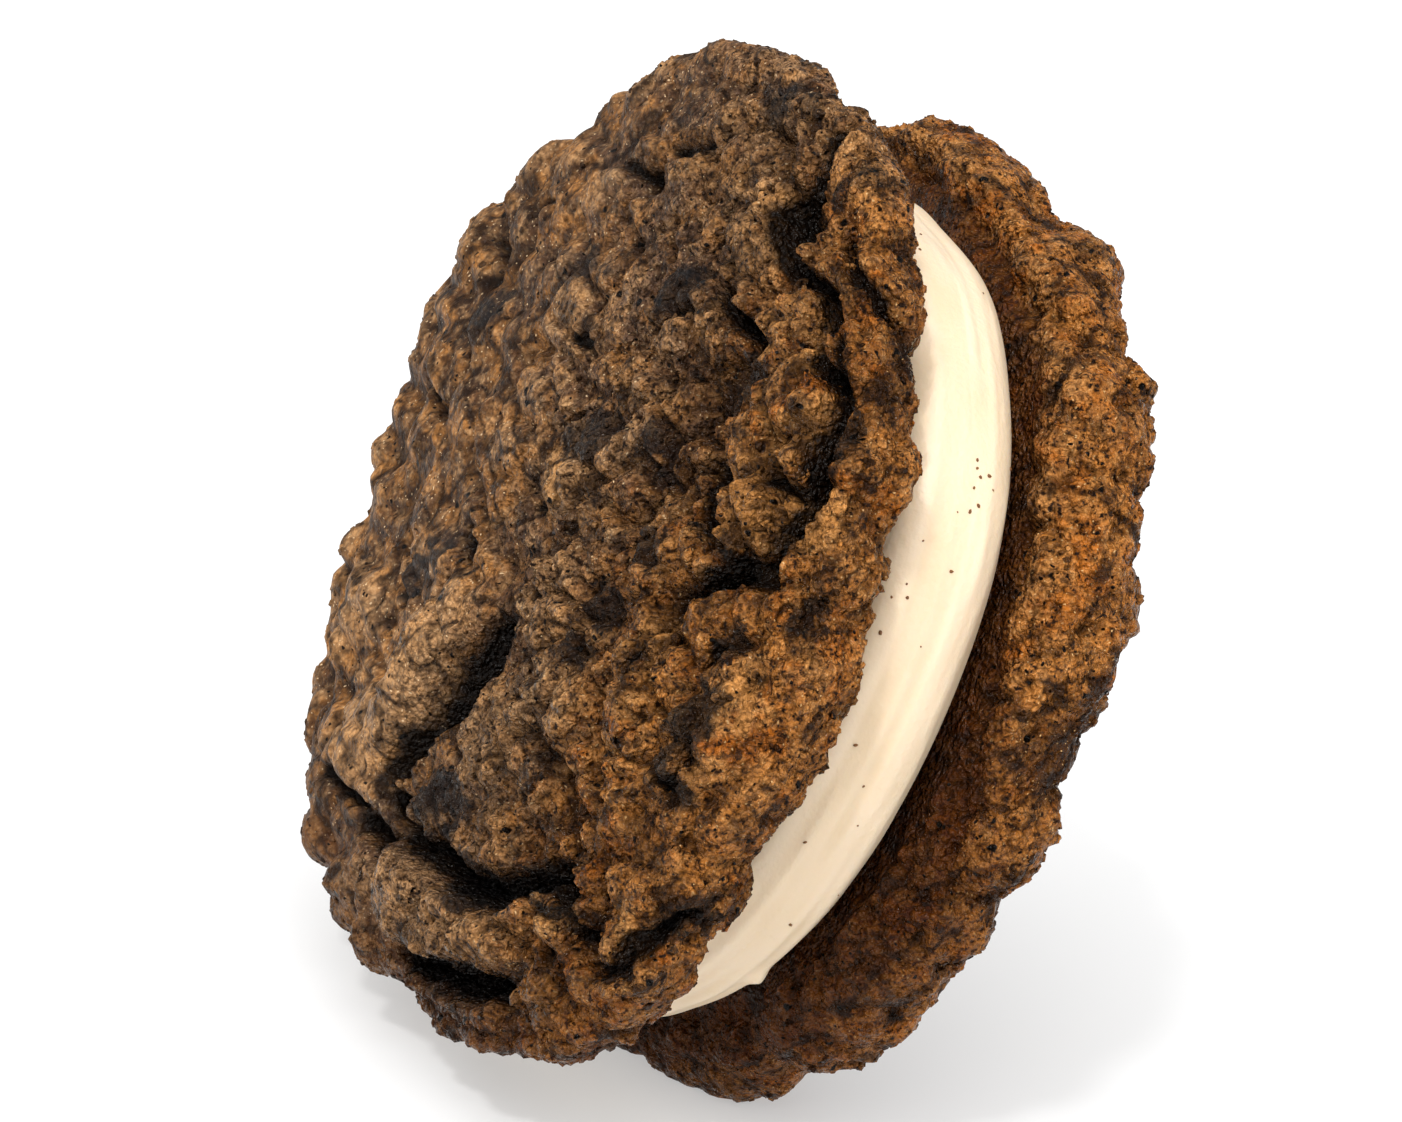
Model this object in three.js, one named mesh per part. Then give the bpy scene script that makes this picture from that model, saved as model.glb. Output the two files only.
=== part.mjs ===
// Chocolate sandwich cookie: two soft baked cookies with a thick round of cream between them.
// It stands on the rim of the rear cookie and leans back, the front cookie facing -Y.
// Millimetres and degrees, +Z up, origin on the surface it stands on, under the middle of its box.
import * as THREE from 'three';

// ---------------------------------------------------------------- driving dimensions
const LEAN = 19.5;                  // lean back from upright
const STANDS_AT = 39.5;             // height of the filling's centre above the surface
const ORIGIN_SHIFT = [0, -0.6];     // filling's centre, sideways and back, from the middle of the box
const CREAM_HALF = 5.8;             // half the thickness of the filling
const GAP = 0.3;                    // clearance between the filling and each cookie

// A body's section is two superellipse halves, (r / rim)^a + (z / height)^b = 1: `dome` high towards its
// outer face and `belly` deep towards its inner face. `waves` are the swings of its outline:
// [lobes round the rim, swing, direction of one lobe].
const FRONT = {
  name: 'front_cookie',
  rim: 41.1,
  dome: 4.8,
  domeCurve: [6, 2.2],
  belly: 5.0,
  bellyCurve: [9, 3],
  waves: [[2, 0.45, -40], [3, 0.95, -43], [4, 1.15, 44], [5, 0.75, 13], [6, 0.65, -20], [7, 0.35, 7]],
  seed: 11,
};
const REAR = {
  name: 'rear_cookie',
  rim: 38.8,
  dome: 5.5,
  domeCurve: [11, 3],
  belly: 5.0,
  bellyCurve: [9, 3],
  waves: [[2, 1.65, 93], [3, 1.2, 64], [5, 1.1, 3], [6, 0.65, 3]],
  seed: 47,
};
const CREAM = {
  name: 'cream_filling',
  rim: 35.1,
  dome: CREAM_HALF,
  domeCurve: [12, 3.2],
  belly: CREAM_HALF,
  bellyCurve: [12, 3.2],
  waves: [[2, 0.5, -14], [3, 0.6, 42]],
  seed: 5,
};
const BED_EDGE = [1, 3.5];           // from the filling's rim outwards, where a cookie's inner relief sets in
const COOKIE_DETAIL = 15;           // subdivisions of the icosahedron that each body is shaped from
const CREAM_DETAIL = 8;
const SECTION_STEPS = 600;          // steps along a body's section, from the middle of one face to the other
const INNER_FACE = 0.9;             // share of the rim's radius where the bedded inner face ends
const INNER_DENSITY = 0.4;          // facets on the bedded inner face, against the rest
const SHOULDER_TILT = 0.75;         // cosine of the surface's tilt where the outer face turns into the rim

// ---------------------------------------------------------------- hand-placed relief
// Places are on a cookie's outer face as if peeled flat from its centre over the rim: x right, y up,
// seen from outside. crease: [x, y, heading, length, bend along it, half width, depth].
FRONT.creases = [
  [17, 37, -90, 11, 30, 1.3, 2.1],            // crack that comes down from the top
  [20.5, 25.2, 10, 12, -75, 1.3, 2.1],
  [32.5, 20.5, -55, 8, -10, 1.2, 2.0],        // crack along the right rim
  [36, 13.5, -95, 9.5, 10, 1.3, 2.3],
  [36, 5, 175, 9, 50, 1.2, 2.0],
  [35, 12, 180, 6, 0, 1.0, 1.4],
  [26.5, -1, -100, 8, 0, 1.1, 1.3],
  [22, -10, -75, 10.5, -5, 1.2, 1.1],
  [23.5, 9.5, -45, 5.5, 0, 1.0, 1.5],
  [10, 24.5, -30, 6.5, 0, 1.2, 1.5],
  [1.5, -8.5, -122, 19.5, 8, 2.6, 3.9],       // the deep valley
  [-8, -28.8, -2, 33, 32, 1.5, 2.4],          // folds below it
  [24, -20.8, -5, 8, -35, 1.2, 1.4],
  [-16, -31.5, 3, 13, 0, 1.6, 2.1],
  [-2, -38.5, 8, 27, 30, 1.6, 2.2],
  [-22, -26.5, -12, 14, -12, 1.4, 1.8],
  [-16, -4.5, -5, 12, -10, 1.3, 1.5],
  [0.7, 9.4, 190, 14, 180, 1.1, 1.1],
  [5, 0.5, -95, 8, 80, 1.0, 0.9],
  [-4, 33.5, -10, 7, 0, 1.2, 1.3],
  [-14, 28.5, 0, 11, 0, 1.2, 1.3],
  [-33, 20, -20, 10, 10, 1.3, 1.5],
  [-37, 4.5, 0, 12, -10, 1.3, 1.5],
  [-37, -8, -20, 12, 0, 1.3, 1.3],
];
REAR.creases = [
  [-22, 25, -70, 20, 40, 1.6, 2.2],
  [-16, 6, -40, 24, 60, 1.5, 2.0],
  [4, -12, 60, 22, -70, 1.5, 2.0],
  [10, 22, 150, 20, 40, 1.5, 1.9],
  [-34, -8, -60, 16, 20, 1.4, 1.6],
  [20, -24, 100, 18, -30, 1.5, 1.8],
  [30, 18, -120, 12, 30, 1.4, 1.5],
];
// lobe: [x, y, direction of its length, half length, half width, height]
FRONT.lobes = [
  [-9, -14, 65, 9, 5, 1.5],                   // ridge left of the valley
  [-13, -20, 65, 12, 8, 1.5],
  [4, -32, 18, 18, 5, 1.5],                   // long fold along the bottom
  [15, -27.5, 25, 9, 4, 1.1],
  [1.5, 5, 0, 5.5, 5, 1.3],
  [8, -3, -40, 6.5, 5, 0.9],
  [12, -14, 50, 14, 9, 0.8],
  [29.5, 9.5, -5, 6.5, 3.8, 1.2],
  [27, 16, -10, 7, 5, 1.0],
  [24.5, 22.3, -20, 5.5, 3.4, 1.2],
  [13, 29, -15, 9, 5, 1.2],
  [27, -7, 80, 7, 5.5, 1.3],
  [28, -14, 0, 6, 5, 1.1],
  [36, -6, 80, 6, 5, 0.9],
  [26, -27, 20, 6, 5, 1.1],
  [34, -24, 40, 5.5, 4.5, 1.0],
  [-27, -14, 20, 9, 6, 0.9],
  [37.5, 24.5, 123, 9, 6, -1.3],              // where the right rim is drawn in
];
REAR.lobes = [
  [-6, 12, 30, 12, 8, 1.2],
  [14, 4, 70, 11, 8, 1.1],
  [-20, -14, 120, 12, 7, 1.2],
  [8, -26, 10, 12, 7, 1.1],
  [-8, 32, 160, 11, 6, 1.0],
  [28, 20, 50, 10, 6, 1.0],
];
// Scallops round the rim: [direction, half length, half width, height], centred on the shoulder.
FRONT.scallops = [
  [60, 7, 4.5, 0.6], [112, 5, 4, 0.5], [127, 5, 4, 0.5], [139, 5, 4, 0.6], [151, 5, 4, 0.2],
  [163, 5, 4, 0.4], [175, 5, 4.5, 0.9], [186, 5, 4.5, 1.1], [198, 5.5, 4.5, 2.1], [210, 5, 4.5, 1.1],
  [222, 5, 4.5, 0.6], [236, 5, 4.5, 1.2], [250, 6, 4.5, 1.7], [264, 6, 4.5, 1.3],
];
REAR.scallops = [
  [20, 7, 4.5, 0.8], [65, 7, 4.5, 0.9], [108, 7, 4.5, 1.2], [122, 7, 4.5, -0.6], [178, 9, 7, -1.1],
  [212, 11, 7, -0.8], [252, 10, 8, 1.8], [289, 12, 9, -2.3], [335, 8, 4.5, 0.8],
];
// pit: [x, y, radius, depth]
FRONT.pits = [
  [28.5, 0.5, 2.3, 3.6], [26.3, 0, 1.6, 2.4], [27.5, 6, 1.4, 2.2], [18.5, 30, 1.6, 1.6],
  [14, -33.5, 2.0, 2.2], [-5.5, 28, 1.6, 2.4], [35.5, 6, 1.6, 1.6], [-3, -15, 3.2, 1.4],
];
REAR.pits = [
  [-12, 18, 1.8, 1.8], [10, 8, 1.8, 1.6], [22, -6, 1.8, 1.8],
];

// Crumpled crust: [feature size, height] of its swells, its rounded folds and its small bumps.
const SWELL = [19, 1.1];
const FOLDS = [8.5, 1.35];
const BUMPS = [4.2, 0.6];
const WANDER = [5, 1.1];            // how far creases and lobes stray from their drawn line
const CREAM_SWELL = [13, 0.7];      // the filling's round side, and where that sets in
const CREAM_SIDE = [31, 35];
const FOLD_SHARPNESS = 2.4;         // higher makes the valleys between folds narrower
const CREASE_POWER = 1.6;           // higher makes a crease's walls steeper
const CREASE_END = 0.4;             // depth left at a crease's two ends

// ---------------------------------------------------------------- noise
const radians = THREE.MathUtils.degToRad;
const { clamp, lerp, smoothstep } = THREE.MathUtils;

// A repeatable value in -1..1 for one point of the whole-number lattice.
function latticeValue(i, j, k, seed) {
  let h = Math.imul(i, 374761393) ^ Math.imul(j, 668265263);
  h ^= Math.imul(k, 1274126177) ^ Math.imul(seed, 1103515245);
  h = Math.imul(h ^ (h >>> 15), 739714957);
  h = Math.imul(h ^ (h >>> 12), 695872825);
  return ((h ^ (h >>> 15)) >>> 0) / 2147483648 - 1;
}

// Smooth noise in -1..1 whose bumps are about `size` apart.
function noise(point, size, seed) {
  const cell = point.map((v) => Math.floor(v / size));
  const [fx, fy, fz] = point.map((v, axis) => {
    const f = v / size - cell[axis];
    return f * f * f * (f * (f * 6 - 15) + 10);
  });
  const edge = (j, k) => lerp(
    latticeValue(cell[0], cell[1] + j, cell[2] + k, seed),
    latticeValue(cell[0] + 1, cell[1] + j, cell[2] + k, seed),
    fx,
  );
  return lerp(lerp(edge(0, 0), edge(1, 0), fy), lerp(edge(0, 1), edge(1, 1), fy), fz);
}

// Rounded bumps with sharp valleys between them, in about -0.5..0.5.
function folds(point, size, seed) {
  return Math.min(1, FOLD_SHARPNESS * Math.abs(noise(point, size, seed))) - 0.5;
}

// ---------------------------------------------------------------- shape of a body
// The outline's radius in a direction.
function outline(body, angle) {
  const swing = body.waves.map(([lobes, size, lobe]) => size * Math.cos(lobes * (angle - radians(lobe))));
  return swing.reduce((sum, v) => sum + v, body.rim);
}

// One half of the section, from the axis to the rim, as points (r, z).
function halfSection(rim, height, [a, b]) {
  const count = SECTION_STEPS / 2;
  return Array.from({ length: count + 1 }, (_, i) => {
    const t = (i / count) * (Math.PI / 2);
    return new THREE.Vector2(rim * Math.sin(t) ** (2 / a), height * Math.cos(t) ** (2 / b));
  });
}

// The whole section at even steps, from the middle of the outer face to the middle of the inner face.
// Each step has its radius, height, outward normal, distance along the section and share of the surface.
function section(body) {
  const outer = halfSection(body.rim, body.dome, body.domeCurve);
  const inner = halfSection(body.rim, -body.belly, body.bellyCurve).reverse().slice(1);
  const points = new THREE.SplineCurve([...outer, ...inner]).getSpacedPoints(SECTION_STEPS);
  const steps = points.map((point, i) => {
    const before = points[Math.max(i - 1, 0)];
    const after = points[Math.min(i + 1, points.length - 1)];
    const tangent = after.clone().sub(before).normalize();
    return { r: point.x, z: point.y, nr: -tangent.y, nz: tangent.x, along: 0, share: 0 };
  });
  for (let i = 1; i < steps.length; i += 1) {
    const length = points[i].distanceTo(points[i - 1]);
    const bedded = points[i].y < 0 && points[i].x < INNER_FACE * body.rim;
    const density = bedded ? INNER_DENSITY : 1;
    steps[i].along = steps[i - 1].along + length;
    steps[i].share = steps[i - 1].share + density * length * points[i].x;
  }
  const whole = steps.at(-1).share;
  steps.forEach((step) => { step.share /= whole; });
  return steps;
}

// The section at a share of the surface in 0..1, between its two nearest steps.
function sectionAt(steps, share) {
  let low = 0;
  let high = steps.length - 1;
  while (high - low > 1) {
    const middle = (low + high) >> 1;
    if (steps[middle].share <= share) low = middle;
    else high = middle;
  }
  const [a, b] = [steps[low], steps[high]];
  const f = clamp((share - a.share) / Math.max(b.share - a.share, 1e-12), 0, 1);
  return Object.fromEntries(Object.keys(a).map((key) => [key, lerp(a[key], b[key], f)]));
}

// How far (x, y) is from an arc that starts at (x0, y0), and how far along the arc that is, in 0..1.
function arcDistance(x, y, x0, y0, heading, length, bend) {
  const h = radians(heading);
  const radius = length / radians(Math.abs(bend) < 1 ? 1 : bend);
  const cx = x0 - radius * Math.sin(h);
  const cy = y0 + radius * Math.cos(h);
  const turn = Math.sign(radius);
  const angle = Math.atan2(turn * (y - cy), turn * (x - cx)) - (h - Math.PI / 2);
  const wrapped = Math.atan2(Math.sin(angle), Math.cos(angle));
  const along = (wrapped * radius) / length;
  const off = Math.hypot(x - cx, y - cy) - Math.abs(radius);
  const past = Math.max(-along, along - 1, 0) * length;
  return [Math.hypot(off, past), clamp(along, 0, 1)];
}

// Depth of a crease: steep sides, fading out at both ends.
function creaseDepth(x, y, [x0, y0, heading, length, bend, halfWidth, depth]) {
  const [off, along] = arcDistance(x, y, x0, y0, heading, length, bend);
  const fade = 1 - (1 - CREASE_END) * (2 * along - 1) ** 4;
  return depth * fade * Math.exp(-((off / halfWidth) ** CREASE_POWER));
}

// Height of a lobe: a smooth dome that ends at its half length and half width.
function lobeHeight(x, y, [x0, y0, direction, halfLength, halfWidth, height]) {
  const c = Math.cos(radians(direction));
  const s = Math.sin(radians(direction));
  const u = ((x - x0) * c + (y - y0) * s) / halfLength;
  const v = ((y - y0) * c - (x - x0) * s) / halfWidth;
  return height * Math.max(0, 1 - u * u - v * v) ** 1.5;
}

// Height of a cookie's relief over its plain section.
function cookieRelief(body, at, angle, base, shoulder) {
  const stray = [0, 1].map((i) => WANDER[1] * noise(base, WANDER[0], body.seed + 20 + i));
  const x = at.along * Math.cos(angle) + stray[0];
  const y = at.along * Math.sin(angle) + stray[1];
  const scallops = body.scallops.map(([direction, halfLength, halfWidth, height]) => {
    const a = radians(direction);
    return [shoulder * Math.cos(a), shoulder * Math.sin(a), direction + 90, halfLength, halfWidth, height];
  });
  let height = SWELL[1] * noise(base, SWELL[0], body.seed);
  height += FOLDS[1] * folds(base, FOLDS[0], body.seed + 1);
  height += BUMPS[1] * folds(base, BUMPS[0], body.seed + 2);
  [...body.lobes, ...scallops].forEach((lobe) => { height += lobeHeight(x, y, lobe); });
  body.creases.forEach((crease) => { height -= creaseDepth(x, y, crease); });
  body.pits.forEach(([px, py, radius, depth]) => {
    height -= depth * Math.exp(-((Math.hypot(x - px, y - py) / radius) ** 2));
  });
  const bedded = at.z < 0 ? smoothstep(at.r, CREAM.rim + BED_EDGE[0], CREAM.rim + BED_EDGE[1]) : 1;
  return height * bedded;
}

// Height of the filling's relief: only its round side swells, and its faces stay flat.
function creamRelief(body, at, angle, base) {
  const side = smoothstep(at.r, CREAM_SIDE[0], CREAM_SIDE[1]);
  return CREAM_SWELL[1] * noise(base, CREAM_SWELL[0], body.seed) * side;
}

// A closed body: an icosahedron's even facets spread over the section, then raised by the relief.
function bodyGeometry(body, detail, relief) {
  const geometry = new THREE.IcosahedronGeometry(1, detail);
  const position = geometry.attributes.position;
  const steps = section(body);
  const shoulder = steps.findLast((step) => step.nz > SHOULDER_TILT).along;
  for (let i = 0; i < position.count; i += 1) {
    const [dx, dy, dz] = [0, 1, 2].map((axis) => Math.round(position.getComponent(i, axis) * 1e5) / 1e5);
    const angle = Math.atan2(dy, dx);
    const at = sectionAt(steps, clamp((1 - dz) / 2, 0, 1));
    const r = (at.r * outline(body, angle)) / body.rim;
    const base = [r * Math.cos(angle), r * Math.sin(angle), at.z];
    const height = relief(body, at, angle, base, shoulder);
    position.setXYZ(
      i,
      base[0] + height * at.nr * Math.cos(angle),
      base[1] + height * at.nr * Math.sin(angle),
      base[2] + height * at.nz,
    );
  }
  return geometry;
}

// Flattens whatever lies below the surface that the body stands on.
function standOn(mesh) {
  mesh.updateWorldMatrix(true, false);
  const toBody = mesh.matrixWorld.clone().invert();
  const position = mesh.geometry.attributes.position;
  const point = new THREE.Vector3();
  for (let i = 0; i < position.count; i += 1) {
    point.fromBufferAttribute(position, i).applyMatrix4(mesh.matrixWorld);
    if (point.z < 0) {
      point.setZ(0).applyMatrix4(toBody);
      position.setXYZ(i, point.x, point.y, point.z);
    }
  }
}

// ---------------------------------------------------------------- the sandwich
const crust = new THREE.MeshStandardMaterial({ color: 0x5a3a24, roughness: 0.85, metalness: 0 });
const cream = new THREE.MeshStandardMaterial({ color: 0xefe3c8, roughness: 0.5, metalness: 0 });

const group = new THREE.Group();
const sandwich = new THREE.Group();
sandwich.rotation.x = radians(90 - LEAN);
sandwich.position.set(ORIGIN_SHIFT[0], ORIGIN_SHIFT[1], STANDS_AT);
group.add(sandwich);

function addBody(body, detail, relief, material) {
  const mesh = new THREE.Mesh(bodyGeometry(body, detail, relief), material);
  mesh.name = body.name;
  sandwich.add(mesh);
  return mesh;
}

const front = addBody(FRONT, COOKIE_DETAIL, cookieRelief, crust);
front.position.z = CREAM_HALF + GAP + FRONT.belly;

const rear = addBody(REAR, COOKIE_DETAIL, cookieRelief, crust);
rear.position.z = -(CREAM_HALF + GAP + REAR.belly);
rear.rotation.y = Math.PI;
standOn(rear);

addBody(CREAM, CREAM_DETAIL, creamRelief, cream);

export default group;
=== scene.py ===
# %% [markdown]
# # Chocolate sandwich cookie
# Two soft baked chocolate cookies hold a thick round of cream. The sandwich stands on the rim of the
# rear cookie and leans back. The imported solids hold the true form, and this lesson dresses them: relief
# from about a millimetre up is made as mesh, and finer grain is left to the materials.

import bpy
import numpy as np
from mathutils import Matrix, Vector


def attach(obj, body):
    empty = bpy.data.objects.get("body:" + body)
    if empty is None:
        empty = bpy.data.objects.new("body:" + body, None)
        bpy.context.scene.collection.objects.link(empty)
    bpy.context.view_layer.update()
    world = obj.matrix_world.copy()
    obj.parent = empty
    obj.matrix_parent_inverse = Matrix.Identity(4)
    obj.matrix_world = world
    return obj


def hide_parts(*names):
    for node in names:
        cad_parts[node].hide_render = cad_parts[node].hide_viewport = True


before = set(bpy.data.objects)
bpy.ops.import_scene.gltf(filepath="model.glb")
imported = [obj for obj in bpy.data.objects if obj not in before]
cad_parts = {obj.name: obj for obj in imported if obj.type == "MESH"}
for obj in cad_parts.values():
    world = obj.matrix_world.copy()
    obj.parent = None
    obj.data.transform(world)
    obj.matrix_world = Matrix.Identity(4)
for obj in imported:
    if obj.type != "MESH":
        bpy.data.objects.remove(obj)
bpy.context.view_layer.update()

# %% [markdown]
# ## Where things are
# A cookie is easiest to think about lying flat: x to the right, y up, z out of its outer face. The
# sandwich is then tipped up until it leans back a little from upright. Lengths are in millimetres until
# a mesh is written, because crumbs and cracks are easy to picture in millimetres.

# %% The sandwich's own axes
MM = 0.001
LEAN = np.radians(19.5)
CREAM_CENTRE = np.array([0.0, -0.6, 39.5])
ACROSS = np.array([1.0, 0.0, 0.0])
UP_FACE = np.array([0.0, np.sin(LEAN), np.cos(LEAN)])
OUTWARD = np.array([0.0, -np.cos(LEAN), np.sin(LEAN)])
SEAT = 11.1  # from the cream's middle plane to the widest ring of each cookie


def to_world(points, seat, turned):
    """A body's own points in the world: across, up the face, and out along the sandwich's axis by seat
    plus height. A turned body goes half round its upright axis, so that its outer face looks back."""
    x, y, z = points[..., 0:1], points[..., 1:2], points[..., 2:3]
    side = -1.0 if turned else 1.0
    return CREAM_CENTRE + side * x * ACROSS + y * UP_FACE + side * (seat + z) * OUTWARD


# %% [markdown]
# ## Camera
# A short telephoto look from the cookie's right and a little above, held slightly off level. The
# camera's axes are worked out from its azimuth and elevation and written straight into its matrix.

# %% Camera
AZIMUTH, ELEVATION, ROLL = np.radians([64.7, 14.0, 4.4])
DISTANCE = 330.0
AIM = CREAM_CENTRE + np.array([-1.88, 0.0, 1.19])

back = np.array(
    [np.sin(AZIMUTH) * np.cos(ELEVATION), -np.cos(AZIMUTH) * np.cos(ELEVATION), np.sin(ELEVATION)]
)
level_right = np.array([np.cos(AZIMUTH), np.sin(AZIMUTH), 0.0])
level_up = np.cross(back, level_right)
right = np.cos(ROLL) * level_right + np.sin(ROLL) * level_up
up = np.cos(ROLL) * level_up - np.sin(ROLL) * level_right

camera_data = bpy.data.cameras.new("camera")
camera_data.lens = 105.0
camera_data.sensor_width = 36.0
camera_data.clip_start = 0.01
camera = bpy.data.objects.new("camera", camera_data)
bpy.context.scene.collection.objects.link(camera)
pose = np.eye(4)
pose[:3, 0], pose[:3, 1], pose[:3, 2] = right, up, back
pose[:3, 3] = (AIM + DISTANCE * back) * MM
camera.matrix_world = Matrix(pose.tolist())
bpy.context.scene.camera = camera
print("camera height, mm:", round(float(pose[2, 3]) / MM, 1))

# %% [markdown]
# ## Colours and nodes
# Colours are written as the sRGB hex values that a colour picker shows, and Cycles wants linear light,
# so one function turns one into the other. One helper adds a node, and everything else is a list.

# %% Helpers for materials


def linear(hex_colour):
    """sRGB hex to linear RGBA: a short straight toe below 0.04045, and a 2.4 power above it."""
    srgb = np.array([int(hex_colour[i : i + 2], 16) / 255 for i in (1, 3, 5)])
    return (*np.where(srgb <= 0.04045, srgb / 12.92, ((srgb + 0.055) / 1.055) ** 2.4).tolist(), 1.0)


def add(tree, kind, inputs=(), **settings):
    """A new node of this kind. Settings are its properties; an input is linked where it is given a
    socket, and otherwise holds the value."""
    made = tree.nodes.new(kind)
    for key, value in settings.items():
        setattr(made, key, value)
    for key, value in dict(inputs).items():
        if isinstance(value, bpy.types.NodeSocket):
            tree.links.new(value, made.inputs[key])
        else:
            made.inputs[key].default_value = value
    return made


def per_mm(size):
    """Texture scale whose cells are this many millimetres, on Object coordinates in metres."""
    return 1.0 / (size * MM)


def new_material(name):
    """A new material, its tree of nodes and the shader that the tree starts with."""
    material = bpy.data.materials.new(name)
    material.use_nodes = True
    return material, material.node_tree, material.node_tree.nodes["Principled BSDF"]


def settle(shader, **numbers):
    """Numbers and colours that are the same all over a surface, set on the shader's own sockets. A
    socket is given by its name with an underscore for each space."""
    for key, value in numbers.items():
        shader.inputs[key.replace("_", " ")].default_value = value


# %% [markdown]
# ## Noise that both the solids and this scene share
# The folds of the crust come from value noise: a repeatable random number on each point of a whole-number
# lattice, blended smoothly in between. The same whole-number mixing was used to shape the solids, so the
# finer mesh made here follows the same folds.

# %% Lattice noise
MIX_AXES = (374761393, 668265263, 1274126177, 1103515245)
MIX_ROUNDS = (739714957, 695872825)
MASK = np.uint64(0xFFFFFFFF)


def lattice(i, j, k, seed):
    """A repeatable value in -1..1: each whole number times a large odd number, the products joined by
    exclusive or, then twice shifted, joined and multiplied, all in 32 bits."""
    mixed = np.uint64(0)
    for value, factor in zip((i, j, k, seed), MIX_AXES):
        whole = (np.asarray(value, dtype=np.int64) & 0xFFFFFFFF).astype(np.uint64)
        mixed = mixed ^ (whole * np.uint64(factor) & MASK)
    for shift, factor in zip((15, 12), MIX_ROUNDS):
        mixed = ((mixed ^ (mixed >> np.uint64(shift))) * np.uint64(factor)) & MASK
    mixed = mixed ^ (mixed >> np.uint64(15))
    return mixed.astype(float) / 2**31 - 1


def noise(points, size, seed):
    """Value noise in -1..1 with bumps about size apart: the eight lattice values round a point,
    blended by the quintic 6f^5 - 15f^4 + 10f^3 of its place f in the cell."""
    place = points / size
    cell = np.floor(place).astype(np.int64)
    f = place - cell
    f = f * f * f * (f * (f * 6 - 15) + 10)
    total = 0.0
    for corner in np.ndindex(2, 2, 2):
        weight = np.prod(np.where(corner, f, 1 - f), axis=-1)
        i, j, k = (cell[..., axis] + corner[axis] for axis in range(3))
        total = total + weight * lattice(i, j, k, seed)
    return total


def folds(points, size, seed):
    """Flat-topped bumps with sharp valleys, in -0.5..0.5: 2.4 times the noise's distance from zero, cut
    off at 1 and lowered by a half."""
    return np.minimum(1, 2.4 * np.abs(noise(points, size, seed))) - 0.5


def cells(points, size, seed):
    """Distances to the nearest and second nearest of the jittered centres, one in each cell of the
    lattice, counted in cells, and a repeatable value in -1..1 that belongs to the nearest centre."""
    place = points / size
    cell = np.floor(place).astype(np.int64)
    nearest, second = np.full(points.shape[:-1], 9.0), np.full(points.shape[:-1], 9.0)
    value = np.zeros(points.shape[:-1])
    for step in np.ndindex(3, 3, 3):
        near = np.moveaxis(cell + np.array(step) - 1, -1, 0)
        jitter = [0.5 + 0.45 * lattice(*near, seed + axis) for axis in range(3)]
        gap = place - np.stack([n + j for n, j in zip(near, jitter)], axis=-1)
        far = np.einsum("...i,...i", gap, gap)
        closer = far < nearest
        second = np.where(closer, nearest, np.minimum(second, far))
        value = np.where(closer, lattice(*near, seed + 3), value)
        nearest = np.minimum(nearest, far)
    return np.sqrt(nearest), np.sqrt(second), value


def beads(points, size, seed):
    """Round grains about size apart, 1 on top of a grain and 0 between grains: the dome
    sqrt(1 - d^2 / 0.55) over the distance d to the nearest jittered centre."""
    return np.sqrt(np.maximum(0, 1 - cells(points, size, seed)[0] ** 2 / 0.55))


def chunks(points, size, step, gap, width, seed):
    """Broken pieces about size across: each piece stands at its own random height, up to step, and a
    crevice gap deep and about width wide runs between neighbours. Their sides are bent by a finer
    noise, and the crevice is a Gaussian of the difference between the two nearest distances."""
    bend = np.stack([noise(points, 0.45 * size, seed + 7 + i) for i in range(3)], axis=-1)
    nearest, second, value = cells(points + 0.2 * size * bend, size, seed)
    crevice = np.exp(-(((second - nearest) * size / width) ** 2))
    return step * value - gap * crevice, crevice


def smoothstep(value, low, high):
    """0 below low, 1 above high, and 3t^2 - 2t^3 in between."""
    t = np.clip((value - low) / (high - low), 0, 1)
    return t * t * (3 - 2 * t)


# %% [markdown]
# ## Section and outline of a cookie
# A cookie, cut through its middle, is two superellipse halves: a low dome on the outer face and a
# flatter belly towards the cream. Its outline isn't a circle, because dough spreads unevenly, so a few
# slow waves round the rim push it in and out: how many round the rim, how far in millimetres, and the
# direction of the first crest. These values are the ones that shaped the solids.
#
# The rest says how the crust changes from place to place. Toasted, crumbly and crisp are the stretches
# across the face, from left to right, over which it turns so. Low shade is the stretch down the face over
# which painted shade darkens it towards the bottom, and low shade side the one from the outer face to the
# inner. The last three are the strength of the bright edge, of the broken chunks and of the lip that
# rolls over the cream.

# %% The three bodies
CREAM_HALF = 5.8
FRONT = dict(
    rim=41.1, dome=4.8, dome_curve=(6, 2.2), belly=5.0, belly_curve=(9, 3), seed=11,
    waves=[(2, 0.45, -40), (3, 0.95, -43), (4, 1.15, 44), (5, 0.75, 13), (6, 0.65, -20), (7, 0.35, 7)],
    toasted=(6, 30), crumbly=(-6, 16), crisp=(-26, 8), low_shade=(20, 34), low_shade_side=(-4.5, -2.5),
    bright_edge=0.15, broken=1.0, roll=0.5,
)
REAR = dict(
    rim=38.8, dome=5.5, dome_curve=(11, 3), belly=5.0, belly_curve=(9, 3), seed=47,
    waves=[(2, 1.65, 93), (3, 1.2, 64), (5, 1.1, 3), (6, 0.65, 3)],
    toasted=(-60, -50), crumbly=(-60, -50), crisp=(-60, -50), low_shade=(-4, 18), low_shade_side=(-5, 1),
    bright_edge=0.4, broken=0.5, roll=1.3,
)
CREAM = dict(
    rim=35.1, dome=CREAM_HALF, dome_curve=(12, 3.2), belly=CREAM_HALF, belly_curve=(12, 3.2), seed=5,
    waves=[(2, 0.5, -14), (3, 0.6, 42)],
)

# %% Outline and section
CURVE_STEPS, EVEN_STEPS = 3001, 2000


def outline(body, angle):
    """Radius of the rim in a direction: the plain rim plus each wave's cosine round it."""
    swing = [size * np.cos(lobes * (angle - np.radians(lobe))) for lobes, size, lobe in body["waves"]]
    return body["rim"] + sum(swing)


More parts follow.
